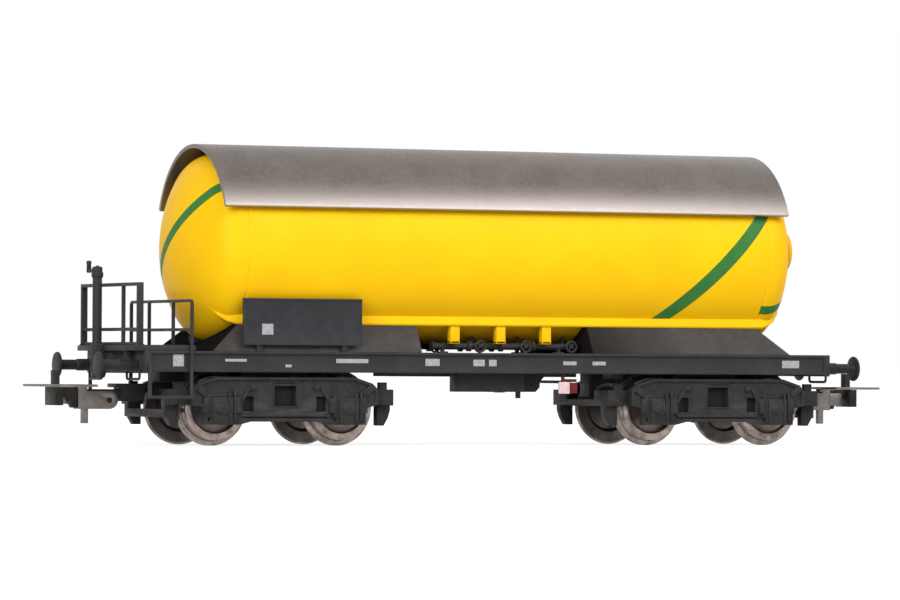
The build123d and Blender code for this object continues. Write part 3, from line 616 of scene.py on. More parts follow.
# How far each length of the lip's swept end goes out, inwards and up, and how much it shrinks
lip_sweep = [
    (1.5, -0.47, 0.25, 0.82), (1.4, -0.34, 0.72, 0.75), (1.1, -0.65, 1.0, 0.62),
    (0.6, -0.75, 0.95, 0.3),
]


def side_y(height):
    """Half width of the tank at a height."""
    return sqrt(tank_radius**2 - (height - tank_axis) ** 2)


def tank_lip():
    """The seam lip along the far side, its ends swept up round the tank's ends and fading."""
    top_y = side_y(lip_box_top)
    outer = top_y + lip_overhang
    points = [
        (top_y - 0.1, lip_box_top + 0.15), (top_y + 0.1, lip_box_top - 0.1),
        (outer, lip_box_bottom + 0.3), (outer - 0.15, lip_box_bottom),
        (outer - lip_depth, lip_box_bottom), (outer - lip_depth, lip_box_top),
    ]
    ends = (tank_middle - straight_half, tank_middle + straight_half + end_shift)
    piece = plate(points, "X", ends)
    for side in (-1, 1):
        edit(piece)
        pick_faces(lambda place, normal: normal.x * side > 0.9)
        for out, inward, up, shrink in lip_sweep:
            pull(Vector((side * out, inward, up)) * MM)
            mesh = bmesh.from_edit_mesh(bpy.context.object.data)
            chosen = [corner.co for corner in mesh.verts if corner.select]
            centre = sum(chosen, Vector()) / len(chosen)
            bpy.ops.transform.resize(value=(1, shrink, shrink), center_override=centre)
        leave()
    return softened(piece, 0.08, angle=40)


def tank_foot(number):
    """A short foot under the lip with its sole plate, on the far side."""
    x = tank_middle + number * foot_spacing
    bottom = tank_box[2][0]
    inner = foot_outer - foot_depth
    sides = about(x, foot_width), (inner, foot_outer)
    leg = block(*sides, (bottom, lip_box_top), 0.12)
    sole = block(*sides, (bottom, bottom + foot_sole), 0.08)
    corners = [(inner, bottom + foot_sole), (inner, lip_box_bottom), (inner - foot_depth, lip_box_bottom)]
    return joined(leg, sole, plate(corners, "X", about(x, foot_sole), 0.05))


def tank():
    piece = joined(tank_skin(), both_sides(joined(tank_lip(), *(tank_foot(n) for n in (-1, 0, 1)))))
    hung(piece, "tank", ("tank_shell",), angle=30)


# Green stripes

stripe_thickness = 0.06


def cut_to_band(piece, low, high):
    """Keeps what lies between two planes, each a normal and its distance from the tank's middle."""
    for (normal, distance), keep_over in ((low, True), (high, False)):
        way = Vector(normal).normalized()
        edit(piece)
        plane = {"plane_co": (tank_centre + way * distance) * MM, "plane_no": way, "threshold": 1e-7}
        bpy.ops.mesh.bisect(**plane, clear_inner=keep_over, clear_outer=not keep_over)
        leave()
    return piece


def stripe(name, cuts, turn):
    """A painted band: the tank's skin between pairs of planes, raised by the paint's thickness."""
    piece = tank_skin(flip=turn)
    for low, high in cuts:
        cut_to_band(piece, low, high)
    modified(piece, "SOLIDIFY", thickness=stripe_thickness * MM, offset=0.0)
    if turn:
        edit(piece)
        bpy.ops.transform.resize(value=(-1, -1, 1), center_override=tank_centre * MM)
        leave()
    hung(piece, name, slot="tank_yellow", finish="stripe_green")


far_away = 200.0
stripe_lift = 0.05
end_slope = (0, 0.613, 0.788)
end_band = 1.75
# Number, turned half way round or not, the end band's lower edge and its start past the seam
stripe_rows = ((1, False, 0.15, 0.0), (2, True, -0.8, 0.1))


def stripes():
    """On each side one band rising to the end, and on each end one band sloping across it."""
    # Each side band lies between two nearly upright planes; each end band between two sloping ones
    lower_edge = plane_from((-0.702, -0.157, 0.695), -4.96)
    upper_edge = plane_from((-0.714, -0.237, 0.659), -7.63)
    near_half = ((0, -1, 0), 0.45 * tank_radius), ((0, -1, 0), far_away)
    over_lip = ((0, 0, 1), lip_box_top - tank_axis + stripe_lift), ((0, 0, 1), far_away)
    on_side = (upper_edge, lower_edge), near_half, over_lip
    for number, turn, low, past in stripe_rows:
        on_end = (
            ((end_slope, low), (end_slope, low + end_band)),
            (((-1, 0, 0), straight_half + past + stripe_lift), ((-1, 0, 0), far_away)),
        )
        stripe(f"stripe_side_{number}", on_side, turn)
        stripe(f"stripe_end_{number}", on_end, turn)


def plane_from(normal, distance):
    """A plane given about the car's zero point and the rail top, seen from the tank's middle."""
    way = Vector(normal)
    length = way.length
    here = way.dot(tank_centre - Vector((0, 0, rail_top)))
    return (normal, (distance - here) / length)


# Manhole on the plain end

manhole_box = limits("tank_manhole")


def manhole():
    """Neck, bolted flange and dished cover with a lifting handle."""
    end_x = manhole_box[0][1] + 0.5
    radius = manhole_box[1][1]
    z = middle(manhole_box[2])
    neck = radius * 0.83
    lid = 1.0
    profile = [
        (-5.0, 0), (-5.0, neck), (-lid - 0.5, neck), (-lid - 0.35, neck + 0.12), (-lid, neck + 0.2),
        (-lid, radius - 0.08), (-lid + 0.08, radius), (-lid * 0.55, radius),
        (-lid * 0.5, radius - 0.07), (-lid * 0.45, radius), (-0.5, radius), (-0.4, radius - 0.1),
        (-0.4, neck * 0.75), (-0.2, neck * 0.65), (-0.08, neck * 0.35), (-0.05, 0),
    ]
    cover = turned(profile, (end_x, 0, z), "X", steps=48)
    count = 12
    reach = (radius + neck * 0.75) / 2
    turns = [2 * pi * number / count for number in range(count)]
    heads = bolts([(end_x - 0.4, reach * cos(a), z + reach * sin(a)) for a in turns], "X", 0.2, 0.28)
    half = 0.8
    back, front = end_x - 0.3, end_x + 0.25
    handle = wire([(back, -half, z), (front, -half, z), (front, half, z), (back, half, z)], 0.1, 0.2)
    hung(joined(cover, heads, handle), "manhole", ("tank_manhole",))


# Sun shield

shield_box = limits("sun_shield")
shield_thickness = 0.7
shield_fold = 0.14


def sun_shield():
    """One curved sheet spun over the tank, its edges rolled."""
    outer = shield_box[2][1] - tank_axis
    inner = outer - shield_thickness
    half_angle = asin(shield_box[1][1] / outer)
    x = shield_box[0]
    start = Vector((0, sin(-half_angle), cos(-half_angle)))
    base = Vector((0, 0, tank_axis))
    corners = [(x[0], inner), (x[0], outer), (x[1], outer), (x[1], inner)]
    drawn([Vector((place, 0, 0)) + base + start * radius for place, radius in corners], loop=True)
    bpy.ops.mesh.edge_face_add()
    bpy.ops.mesh.spin(steps=72, angle=2 * half_angle, center=base * MM, axis=(1, 0, 0))
    piece = softened(close_up(), shield_fold, 3, angle=50)
    hung(piece, "shield", ("sun_shield",), angle=30)


# Frame

patch_thickness = 0.03
web_y = 13.9
# Blank patches on the sole bar: low and high x, low and high z above the rail top
sole_bar_patches = [
    (-58.3, -56.4, 12.3, 14.3), (-49.1, -45.3, 13.15, 13.6), (-38.4, -37.3, 12.25, 12.7),
    (-29.3, -23.5, 13.0, 13.7), (-13.1, -10.5, 12.6, 13.8), (-4.3, -2.2, 12.6, 13.7),
    (-1.4, 0.0, 12.6, 13.7), (12.4, 14.9, 12.85, 13.5), (17.9, 20.4, 12.85, 13.5),
    (54.2, 57.5, 12.55, 13.85),
]


patch_look = {"slot": "plate_pale", "finish": "patch_pale"}


def sole_bar_labels():
    """Blank printed patches on both sole bars, those of the far side in the same order."""
    face = about(-web_y, 2 * patch_thickness)
    near = joined(*(block(row[:2], face, over_rail(*row[2:]), 0.02, 1) for row in sole_bar_patches))
    hung(joined(near, half_turned(near)), "sole_bar_patches", **patch_look)


frame_box = limits("underframe")
sole_bottom = 11.4 + rail_top
floor_bottom = 12.95 + rail_top
deck_top = frame_box[2][1]
bearer_bottom = 10.75 + rail_top
crossbar_places = (-17.5, -8.0, 6.5, 14.5, 21.5)


def underframe():
    """Channels, headstocks and floor, with crossbars, stiffeners and bolts."""
    pieces = [copy_of_node("underframe", 0.09)]
    half = frame_box[0][1]
    root = floor_bottom + seat
    inside = web_y - 0.4
    for x in crossbar_places:
        pieces += [block(about(x, 0.8), (-inside, inside), (sole_bottom + 0.2, root), 0.08)]
    for side in (-1, 1):
        for y in (-5.2, 5.2):
            stiffener = about(side * (half - 3.4), 4.6), about(y, 0.6), (sole_bottom, root)
            pieces += [block(*stiffener, 0.06)]
        places = [(side * half, y, z) for y in (-6.9, -5.6, 5.6, 6.9) for z in over_rail(12.0, 14.1)]
        pieces += [bolts(places, "X", 0.2, side * 0.16)]
        centre = middle(limits(f"bogie_{1 if side < 0 else 2}_bolster")[0])
        for y in (-7.6, 7.6):
            pieces += [block(about(centre, 12), about(y, 0.6), (bearer_bottom, root), 0.08)]
        for x in (centre - 12, centre + 12):
            pieces += [block(about(x, 4), (-4.2, 4.2), (bearer_bottom - 0.3, root), 0.08)]
    hung(joined(*pieces), "underframe_body", ("underframe",))


def saddles():
    for end in car_ends:
        node = f"saddle_{end}"
        hung(copy_of_node(node, 0.12), f"cradle_{end}", (node,), finish="saddle_black")


board_height = 7.8
screw_inset = 0.18


def lettering_boards():
    """Blank boards with a raised frame, screws in the corners and one pale patch."""
    x, y, z = limits("lettering_board_near")
    low = z[1] - board_height
    near = copy_of_node("lettering_board_near", 0.07)
    columns = (x[0] + screw_inset, middle(x), x[1] - screw_inset)
    places = [(px, y[0], pz) for px in columns for pz in (low + screw_inset, z[1] - screw_inset)]
    heads = bolts(places, "Y", 0.11, -0.08)
    face = about(y[0] + 0.15, 2 * patch_thickness)
    patch = block((x[0] + 3.35, x[0] + 5.35), face, (low + 1.75, low + 3.55), 0.02, 1)
    near = joined(near, heads)
    far, far_patch = half_turned(near, tank_middle), half_turned(patch, tank_middle)
    hung(near, "board_near", ("lettering_board_near",))
    hung(far, "board_far", ("lettering_board_far",))
    hung(joined(patch, far_patch), "board_patches", **patch_look)


# Platform end

tread_rows = 22
tread_margin = 1.2
platform_studs = 8.5
headstock_x = -63.3


def platform():
    """Deck with rows of raised tread bars and two brackets below."""
    x, y, z = limits("platform")
    pieces = [copy_of_node("platform", 0.08)]
    pitch = (y[1] - y[0] - 2 * tread_margin) / tread_rows
    first = about(y[0] + tread_margin + pitch / 2, 0.35)
    bar = block((x[0] + 3.3, x[1] - 0.7), first, (z[1] - 0.05, z[1] + 0.1), 0.05, 1)
    pieces += [repeated(bar, [(0, row * pitch, 0) for row in range(tread_rows)])]
    stud_y = (y[0] + 0.6, -platform_studs, platform_studs, y[1] - 0.6)
    places = [(px, py, z[1]) for px in (x[0] + 0.9, x[1] - 0.4) for py in stud_y]
    pieces += [bolts(places, "Z", 0.2, 0.14)]
    top, outer = z[0] + 0.05, x[0] + 0.3
    points = [(headstock_x, z[0] - 2.2), (headstock_x, top), (outer, top), (outer, z[0] - 0.3)]
    for side in (-1, 1):
        pieces += [plate(points, "Y", about(side * 8.2, 0.5), 0.06)]
    hung(joined(*pieces), "platform_deck", ("platform",))


def railings():
    outer = [copy_of_node("railing_outer", 0.07)]
    x, y, z = limits("railing_outer")
    feet = [
        block(about(middle(x), 1.3), about(post_y, 1.0), (z[0] - 0.02, z[0] + 0.22), 0.06)
        for post_y in (y[0] + 0.35, y[1] - 0.35)
    ]
    outer += [both_sides(feet[0]), feet[1]]
    hung(joined(*outer), "end_railing", ("railing_outer",))
    inner = [copy_of_node("railing_inner", 0.09)]
    x, y, z = limits("railing_inner")
    for foot_z in (z[0] + 1.5, z[0] + 3.2):
        for edge, height in ((y[0], -0.12), (y[1], 0.12)):
            inner += [bolts([(middle(x), edge, foot_z)], "Y", 0.17, height)]
    hung(joined(*inner), "tank_side_railing", ("railing_inner",))


column_x = -65.63
column_radius = 0.8
gearbox_chamfer = 0.7


def handbrake():
    """Round column with collars, its gearbox with a bolted cover, and the crank."""
    y, z = limits("handbrake_column")[1:]
    column_y = middle(y)
    radius = column_radius
    low = deck_top
    height = z[1] - low
    profile = [
        (0, 0), (0, radius + 0.25), (1.0, radius + 0.25), (1.15, radius), (height - 1.0, radius),
        (height - 0.9, radius + 0.12), (height - 0.75, radius + 0.2), (height - 0.08, radius + 0.2),
        (height, radius + 0.12), (height, 0),
    ]
    column = turned(profile, (column_x, column_y, low), "Z", steps=24)
    box_y = about(column_y, 2.2)
    box_x = (column_x - radius, column_x - radius + 2.1)
    top, shoulder = low + 0.9, z[0] + gearbox_chamfer
    outline = [
        (box_y[0], shoulder), (box_y[0], top), (box_y[1], top), (box_y[1], shoulder),
        (box_y[1] - gearbox_chamfer, z[0]), (box_y[0] + gearbox_chamfer, z[0]),
    ]
    box = plate(outline, "X", box_x, 0.1)
    front = box_x[0] - 0.12
    cover = block((front, box_x[0] + 0.1), about(column_y, 1.5), (z[0] + 0.9, low - 0.2), 0.06)
    places = [(front, py, pz) for py in about(column_y, 1.0) for pz in (z[0] + 1.2, low - 0.5)]
    heads = bolts(places, "X", 0.13, -0.1)
    hung(joined(column, box, cover, heads), "brake_column", ("handbrake_column",))
    base = z[1] + 0.02
    knob = [(0, 0), (0, 0.85), (0.7, 0.85), (0.9, 0.65), (0.9, 0.3), (1.05, 0.25), (1.05, 0)]
    hub = turned(knob, (column_x, column_y, base), "Z", 20)
    reach = limits("handbrake_crank")[1][1] - 0.45
    arm = wire([(column_x, column_y, base + 0.45), (column_x, reach, base + 0.2)], 0.3)
    grip = [
        (0, 0), (0, 0.34), (0.25, 0.42), (1.5, 0.38), (1.65, 0.46), (1.95, 0.42), (2.05, 0.2),
        (2.05, 0),
    ]
    handle = turned(grip, (column_x, reach, base - 0.1), "Z", 16)
    hung(joined(hub, arm, handle), "brake_crank", ("handbrake_crank",))


step_ribs = 11


def footsteps():
    """Stirrups with a ribbed tread."""
    steps = copy_of_node("footsteps", 0.07)
    x, y, z = limits("footsteps")
    rib = block((x[0] + 0.6, x[0] + 0.85), (-y[1], -y[1] + 0.7), (z[0] + 0.42, z[0] + 0.6), 0.04, 1)
    pitch = (x[1] - x[0] - 1.45) / (step_ribs - 1)
    ribs = repeated(rib, [(number * pitch, 0, 0) for number in range(step_ribs)])
    hung(joined(steps, both_sides(ribs)), "stirrups", ("footsteps",))


# Buffers, grab irons and small gear


def buffers():
    """Sleeve, rod and a disc with a drawn-out face, two at each end."""
    for end, side in car_ends.items():
        node = f"buffers_{end}"
        x, y, z = limits(node)
        edge = max(side, 0)
        root = frame_box[0][edge]
        reach = abs(x[edge] - root)
        disc = (z[1] - z[0]) / 2
        profile = [
            (0, 0), (0, 1.0), (0.3, 1.0), (0.35, 0.94), (0.42, 0.94), (0.47, 1.0), (3.1, 1.0),
            (3.3, 0.97), (3.4, 0.9), (3.45, 0.86), (reach - 1.0, 0.86), (reach - 0.85, 1.0),
            (reach - 0.62, disc * 0.55), (reach - 0.53, disc - 0.12), (reach - 0.47, disc - 0.02),
            (reach - 0.4, disc), (reach - 0.2, disc), (reach - 0.06, disc - 0.1), (reach, disc - 0.35),
            (reach, 0),
        ]
        centre = (root, y[1] - disc, middle(z))
        body = turned([(side * place, r) for place, r in profile], centre, "X", 40)
        hung(both_sides(body), f"buffer_pair_{end}", (node,))


iron_span = 6.6


def grab_irons():
    for end in car_ends:
        node = f"grab_irons_{end}"
        x, y, z = limits(node)
        bar = (x[1] - x[0]) / 2
        ends_y = (y[1] - iron_span + bar, y[1] - bar)
        top, low = z[1] - 0.02, z[0] + bar
        path = [(ends_y[0], top), (ends_y[0], low), (ends_y[1], low), (ends_y[1], top)]
        iron = wire([(middle(x), py, pz) for py, pz in path], bar, 0.5)
        hung(both_sides(iron), f"shunter_irons_{end}", (node,))


def brake_gear():
    """Reservoir and valve box, upright lever, changeover lever and its plates."""
    x, y, z = limits("brake_reservoir")
    strap_x = [x[0] + 2.3, x[0] + 9.5]
    strap_y = (y[0] + 0.03, y[0] + 0.3)
    strap = block(about(strap_x[0], 0.5), strap_y, (z[0] + 1.2, sole_bottom - 0.2), 0.05)
    straps = repeated(strap, [(place, 0, 0) for place in strap_x])
    heads = bolts([(place, y[0] + 0.05, z[0] + 2.6) for place in strap_x], "Y", 0.14, -0.05)
    body = joined(copy_of_node("brake_reservoir", 0.12), straps, heads)
    hung(body, "air_reservoir", ("brake_reservoir",))
    x, y, z = limits("brake_upright")
    pins = bolts([(middle(x), y[0] + 0.02, z[0] + rise) for rise in (0.8, 3.4)], "Y", 0.22, -0.02)
    hung(joined(copy_of_node("brake_upright", 0.1), pins), "upright_lever", ("brake_upright",))
    hung(copy_of_node("lever_bracket", 0.06), "changeover_shaft", ("lever_bracket",))
    x, y, z = limits("lever_plate")
    plate_piece = copy_of_node("lever_plate", 0.06)
    hung(plate_piece, "changeover_plate", ("lever_plate",))
    lever_x, stalk_y = middle(x), y[0] + 0.55
    grip = block((x[1] + 0.05, x[1] + 1.5), (y[0] + 0.1, y[0] + 0.7), (z[1] - 1.9, z[1] - 0.1), 0.12)
    foot = (x[1] + 0.7, y[0] + 0.4, z[1] - 0.3)
    stalk = wire([foot, (lever_x, stalk_y, z[1] + 0.1), (lever_x, stalk_y, floor_bottom)], 0.16, 0.3)
    grip = joined(grip, stalk)
    far, far_plate = half_turned(grip, lever_x), half_turned(plate_piece, lever_x)
    hung(joined(grip, far), "changeover_grips", slot="pipe_grey", finish="lever_red")
    hung(far_plate, "changeover_plate_far", slot="plate_pale")


pipe_y = 8.6
pipe_z = 16.0 + rail_top
pipe_radius = 0.55


def pipework():
    """Header pipe on stands with flanged joints, branches and handwheels, on both sides."""
    x, y = limits("valve_pipes")[:2]
    radius = pipe_radius
    collar = radius * 1.6
    length = x[1] - x[0]
    profile = [(0, 0), (0, collar), (0.3, collar), (0.3, radius)]
    for share in (0.27, 0.5, 0.73):
        place = length * share
        joint = [(-0.3, radius), (-0.3, collar), (-0.04, collar), (0, radius * 1.5)]
        joint += [(0.04, collar), (0.3, collar), (0.3, radius)]
        profile += [(place + along, r) for along, r in joint]
    profile += [(length - 0.3, radius), (length - 0.3, collar), (length, collar), (length, 0)]
    pieces = [turned(profile, (x[0], pipe_y, pipe_z), "X", 20)]
    for side in (-1, 1):
        stand_x = middle(x) + side * 10.8
        foot_z = deck_top - 0.02
        pieces += [block(about(stand_x, 0.5), about(pipe_y, 0.9), (foot_z, pipe_z), 0.06)]
        pieces += [block(about(stand_x, 1.5), about(pipe_y, 1.6), (foot_z, deck_top + 0.25), 0.06)]
    body = [
        (0, 0), (0, 0.75), (0.35, 0.8), (0.55, 0.5), (0.75, 0.38), (1.05, 0.38), (1.15, 0.15),
        (1.5, 0.15), (1.5, 0),
    ]
    branch = [(-0.2, 0), (-2.6, 0), (-2.6, 2.2)]
    for number in (-1, 0, 1):
        wx = middle(x) + (number + 0.5) * foot_spacing
        pieces += [turned(body, (wx, pipe_y, pipe_z), "Y", 14)]
        pieces += [handwheel((wx, y[1] - 0.2, pipe_z), 1.1)]
        pieces += [wire([(wx, pipe_y + a, pipe_z + b) for a, b in branch], 0.35, 0.8)]
    hung(both_sides(joined(*pieces)), "valves", ("valve_pipes",))


# Bogies

side_y_face = 12.85
wheel_half = 11.3
axle_z = 5.5 + rail_top
window_width = 3.9
window_heights = (5.75, 9.15)
window_cut_top = 7.5
window_depth = 1.6
pocket_size = (1.9, 2.5)
pocket_place = (4.75, 6.15)
pocket_depth = 0.9


def pockets(x):
    """Limits along X and Z of the two pockets, inward of the axleboxes, for a bogie's middle."""
    z = about(pocket_place[1] + rail_top, pocket_size[1])
    back = wheel_half - pocket_place[0]
    return [(about(x + side * back, pocket_size[0]), z) for side in (-1, 1)]


# Plates on each axlebox: low and high place along the car, how far each stands out, heights
box_plates = [
    (-2.75, -2.2, 0.6, 3.9, 7.6), (-2.2, 2.75, 0.45, 3.4, 7.3), (1.0, 1.35, 0.95, 3.0, 7.9),
    (1.95, 2.35, 0.75, 3.2, 8.2), (-2.9, 2.9, 0.3, 7.3, 7.75),
]
# Flat pieces on each axlebox: outline as (inwards from the axle, height), reach, root, rounding
box_foot = [(-2.5, 3.5), (-1.8, 2.75), (1.8, 2.75), (2.5, 3.5)]
box_link = [(4.5, 8.7), (5.1, 8.9), (3.7, 6.4), (3.1, 6.6)]
box_gusset = [(-4.9, 8.35), (-4.5, 8.35), (-2.6, 6.9), (-2.6, 8.2), (-4.0, 9.45), (-4.9, 9.0)]
box_flats = [(box_foot, 0.55, 0.3, 0.1), (box_link, 0.4, 0.1, 0.08), (box_gusset, 0.35, 0.1, 0.06)]
cap_profile = [(0, 0), (0, 0.95), (-0.15, 0.95), (-0.2, 0.82), (-0.38, 0.75), (-0.48, 0.5), (-0.5, 0)]
pin_profile = [(0, 0), (0, 0.6), (-0.2, 0.6), (-0.2, 0.35), (-0.5, 0.3), (-0.5, 0)]
rivet_places = (-9, -7, -5, -3, 3, 5, 7, 9)


def side_details():
    """What stands on a side frame's outer face, on the -Y side, about the bogie's middle."""
    face = -side_y_face
    pieces = []
    for wheel_x in (-wheel_half, wheel_half):
        inward = -1 if wheel_x > 0 else 1
        for x0, x1, out, z0, z1 in box_plates:
            sides = (wheel_x + x0, wheel_x + x1), (face - out, face + 0.2)
            pieces += [block(*sides, over_rail(z0, z1), 0.08)]
        pieces += [turned(cap_profile, (wheel_x - 0.55, face - 0.72, axle_z - 0.1), "Y", 28)]
        for outline, out, root, soft in box_flats:
            points = [(wheel_x + inward * a, b + rail_top) for a, b in outline]
            pieces += [plate(points, "Y", (face - out, face + root), soft)]
        pieces += [turned(pin_profile, (wheel_x + inward * 5.6, face - 0.02, 8.8 + rail_top), "Y", 18)]
    pieces += [block((-7.9, 7.9), (face - 0.42, face + seat), over_rail(4.0, 4.35), 0.08)]
    bar = 0.22
    left, right = about(0, window_width)
    low, high = over_rail(*window_heights)
    pieces += [block((-2.1, 2.1), (face, face + 1.0), (high, 9.7 + rail_top), 0.03)]
    surround = [
        ((left - bar, left), (low - bar, high + bar)),
        ((right, right + bar), (low - bar, high + bar)),
        ((left, right), (high, high + bar)),
        ((left, right), (low - bar, low)),
    ]
    for x, z in surround:
        pieces += [block(x, (face - 0.12, face + seat), z, 0.04)]
    pieces += [bolts([(x, face, 9.95 + rail_top) for x in rivet_places], "Y", 0.13, -0.08)]
    return joined(*pieces)


def painted_shadow_linings(x):
    """Dark linings, painted shadow, behind a bogie's windows and in its pockets, on the -Y side."""
    face = -side_y_face
    pieces = [block(about(x, window_width), (face + 1.1, face + 1.22), over_rail(*window_heights), 0)]
    back = (face + pocket_depth - 0.1, face + pocket_depth + 0.02)
    return joined(*pieces, *(block(across, back, heights, 0) for across, heights in pockets(x)))


def bogie(number):
    name = f"bogie_{number}"
    x = middle(limits(f"{name}_bolster")[0])
    for side, flip in (("near", (1, 1, 1)), ("far", (-1, -1, 1))):
        node = f"{name}_side_{side}"
        base = copy_of_node(node, 0.09)
        holes = [(across, pocket_depth, heights) for across, heights in pockets(x)]
        window = over_rail(window_heights[0], window_cut_top)
        holes.append((about(x, window_width), window_depth, window))
        for across, depth, heights in holes:
            reach = (-side_y_face - 1, -side_y_face + depth)
            carved(base, across, sorted(flip[1] * place for place in reach), heights)
        dressing = copy_of(side_dressing, shift=(x, 0, 0), flip=flip)
        hung(joined(base, dressing), f"{name}_frame_{side}", (node,))
    # Near-black sheets painted as shadow in the windows and pockets
    linings = painted_shadow_linings(x)
    hung(both_sides(linings), f"{name}_linings", body=name, slot="bogie_black", finish="painted_shadow_black")
    for part in ("bolster", "beam_inner", "beams_outer"):
        node = f"{name}_{part}"
        hung(copy_of_node(node, 0.1), f"{node}_dressed", (node,))
    across, _, (low, high) = limits(f"{name}_pivot")
    head = (across[1] - across[0]) / 2
    profile = [
        (0, 0), (0, head - 0.35), (0.12, head - 0.1), (0.3, head), (0.6, head), (0.6, 1.0),
        (high - low, 1.0), (high - low, 0),
    ]
    screw = turned(profile, (x, 0, low), "Z", 28)
    carved(screw, about(x, 2 * head + 1), about(0, 0.4), (low - 0.5, low + 0.25))
    hung(screw, f"{name}_screw", (f"{name}_pivot",))


# Wheelsets

wheel_width = 2.8
flange_height = 0.9
rim_depth = 1.3


def rim_profile(flange, outer):
    """Outline of the far wheel's flange and tread: (place across, radius)."""
    tread = flange - flange_height
    inner = outer - wheel_width
    bore = tread - rim_depth
    return [
        (inner + 0.02, bore), (inner, bore + 0.2), (inner, flange - 0.45),
        (inner + 0.1, flange - 0.15), (inner + 0.3, flange), (inner + 0.5, flange - 0.08),
        (inner + 0.68, flange - 0.45), (inner + 0.85, tread + 0.1), (inner + 1.1, tread),
        (outer - 0.25, tread - 0.06), (outer - 0.05, tread - 0.18), (outer, tread - 0.35),
        (outer, bore + 0.15), (outer - 0.1, bore), (inner + 0.02, bore),
    ]


def web_profile(flange, outer):
    """Outline of the far wheel's web and hub."""
    tread = flange - flange_height
    inner = outer - wheel_width
    bore = tread - rim_depth
    return [
        (inner + 0.05, 0.7), (inner + 0.05, 1.7), (inner + 0.4, 1.9), (inner + 0.5, bore - 0.5),
        (inner - 0.02, bore + 0.05), (inner - 0.02, flange - 0.42), (inner + 0.06, flange - 0.3),
        (inner + 0.2, bore + 0.05), (outer - 0.2, bore + 0.05), (outer - 0.6, bore - 0.2),
        (outer - 0.72, bore - 0.5), (outer - 0.72, 2.1), (outer - 0.62, 1.75), (outer - 0.15, 1.5),
        (outer, 1.35), (outer, 0.7), (inner + 0.05, 0.7),
    ]


def wheelset(number, place):
    name = f"bogie_{number}_wheelset_{place}"
    box = limits(f"{name}_wheels")
    centre = (middle(box[0]), 0, middle(box[2]))
    sizes = (box[2][1] - box[2][0]) / 2, box[1][1]
    rim = turned(rim_profile(*sizes), centre, "Y", 64)
    body = body_of[f"{name}_wheels"]
    hung(both_sides(rim), f"{name}_rims", (f"{name}_wheels",), angle=25)
    web = turned(web_profile(*sizes), centre, "Y", 48)
    hung(both_sides(web), f"{name}_webs", body=body, slot="wheel_metal", finish="web_brown", angle=25)
    outer = box[1][1]
    end = limits(f"{name}_axle")[1][1]
    half = [
        (0, 0.62), (outer - 3.6, 0.62), (outer - 3.2, 0.8), (outer, 0.8), (outer + 0.1, 0.6),
        (outer + 0.25, 0.5), (end - 0.25, 0.5), (end, 0.2), (end, 0),
    ]
    profile = [(-a, r) for a, r in reversed(half[1:])] + half
    shaft = turned(profile, centre, "Y", 24)
    hung(shaft, f"{name}_shaft", (f"{name}_axle",))


# Couplers

cheek_back = (7.3, 4.8)
cheek_across = (1.25, 0.85)


def couplers():
    """Guide arm, hook head and lifting loop at each end, the loop with a cheek plate."""
    for end, side in car_ends.items():
        for part, width in (("guide", 0.08), ("head", 0.12), ("loop", 0.09)):
            node = f"coupler_{part}_{end}"
            piece = copy_of_node(node, width)
            if part == "loop":
                x, _, z = limits(node)
                tip = x[max(side, 0)]
                along = sorted(tip - side * back for back in cheek_back)
                across = sorted(-side * place for place in cheek_across)
                piece = joined(piece, block(along, across, (z[1] - 3.3, z[1] - 1.1), 0.06))
            hung(piece, f"{part}_{end}", (node,))


tank()
stripes()
manhole()
sun_shield()
underframe()
sole_bar_labels()
saddles()
lettering_boards()
platform()
railings()
handbrake()
footsteps()
buffers()
grab_irons()
brake_gear()
pipework()
side_dressing = side_details()
for number in (1, 2):
    bogie(number)
    for place in (1, 2):
        wheelset(number, place)
bpy.data.objects.remove(side_dressing)
couplers()

# Floor, light and camera

floor_lift = 0.75
floor_pale, floor_shade = (0.61, 0.6, 0.59), (0.58, 0.57, 0.56)
surround_light = 0.38
white = (1, 1, 1, 1)
# Place, width and height, and energy
lamps = [((285, -655, 530), (900, 520), 5.4), ((-680, -560, 330), (500, 500), 5.2)]
camera_place = (-350.933, -801.621, 12.734 + rail_top)
camera_turn, camera_rise, camera_roll = -23.485, 0.734, 0.319
sensor_width = 36
focal_share = 5097.684 / 900


def seen_directly(owner):
    """1 for rays from the camera, a mirror or a clear surface, else 0."""
    rays = ("Is Camera Ray", "Is Glossy Ray", "Is Transmission Ray")
    looked, mirrored, clear = (node_of(owner, "ShaderNodeLightPath", {}, ray) for ray in rays)
    return combined(owner, "MAXIMUM", combined(owner, "MAXIMUM", looked, mirrored), clear)


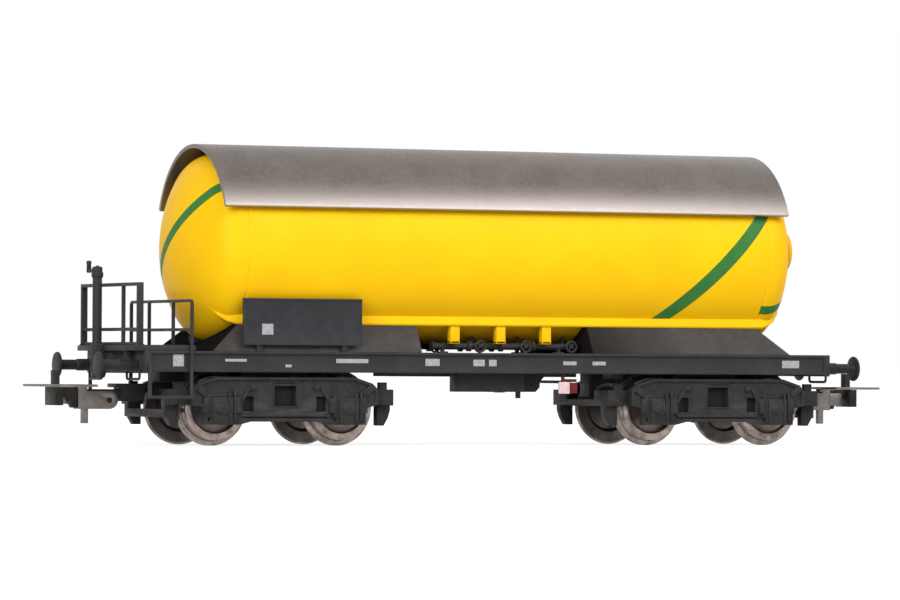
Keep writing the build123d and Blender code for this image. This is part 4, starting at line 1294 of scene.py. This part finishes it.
def floor():
    """A pale floor that shows white where it is lit and keeps the car's soft shadow."""
    bpy.ops.mesh.primitive_plane_add(size=6, location=(0, 2, 0))
    piece = bpy.context.object
    piece.name = "floor"
    finish = new_finish("floor_white", 0.9)
    mottle = spread(finish, grain(finish, 60), 0, 1)
    feed(finish, "Base Color", blended(finish, mottle, floor_pale, floor_shade))
    feed(finish, "Emission Strength", combined(finish, "MULTIPLY", seen_directly(finish), floor_lift))
    finish.node_tree.nodes["Principled BSDF"].inputs["Emission Color"].default_value = white
    piece.data.materials.append(finish)


def studio_world():
    """Even pale surroundings that show white behind the car."""
    world = bpy.data.worlds.new("studio")
    bpy.context.scene.world = world
    world.use_nodes = True
    light = node_of(world, "ShaderNodeBackground", {"Color": white, "Strength": surround_light})
    backdrop = node_of(world, "ShaderNodeBackground", {"Color": white})
    mix = node_of(world, "ShaderNodeMixShader", {0: seen_directly(world), 1: light, 2: backdrop})
    world.node_tree.links.new(mix, world.node_tree.nodes["World Output"].inputs["Surface"])


def lamp(place, size, energy):
    """A soft lamp, its width and height given, aimed at the tank."""
    bpy.ops.object.light_add(type="AREA", location=Vector(place) * MM)
    light = bpy.context.object
    light.data.shape = "RECTANGLE"
    light.data.size, light.data.size_y = (side * MM for side in size)
    light.data.energy = energy
    aim = Vector((0, 0, 25)) * MM - light.location
    light.rotation_euler = aim.to_track_quat("-Z", "Y").to_euler()


def camera():
    bpy.ops.object.camera_add(location=Vector(camera_place) * MM)
    seen = bpy.context.object
    seen.rotation_euler = (
        Matrix.Rotation(radians(camera_turn), 3, "Z")
        @ Matrix.Rotation(pi / 2 + radians(camera_rise), 3, "X")
        @ Matrix.Rotation(radians(camera_roll), 3, "Z")
    ).to_euler()
    seen.data.sensor_width = sensor_width
    seen.data.lens = focal_share * sensor_width
    seen.data.clip_start = 0.05
    bpy.context.scene.camera = seen


floor()
studio_world()
for lamp_row in lamps:
    lamp(*lamp_row)
camera()
bpy.context.scene.view_settings.view_transform = "Standard"
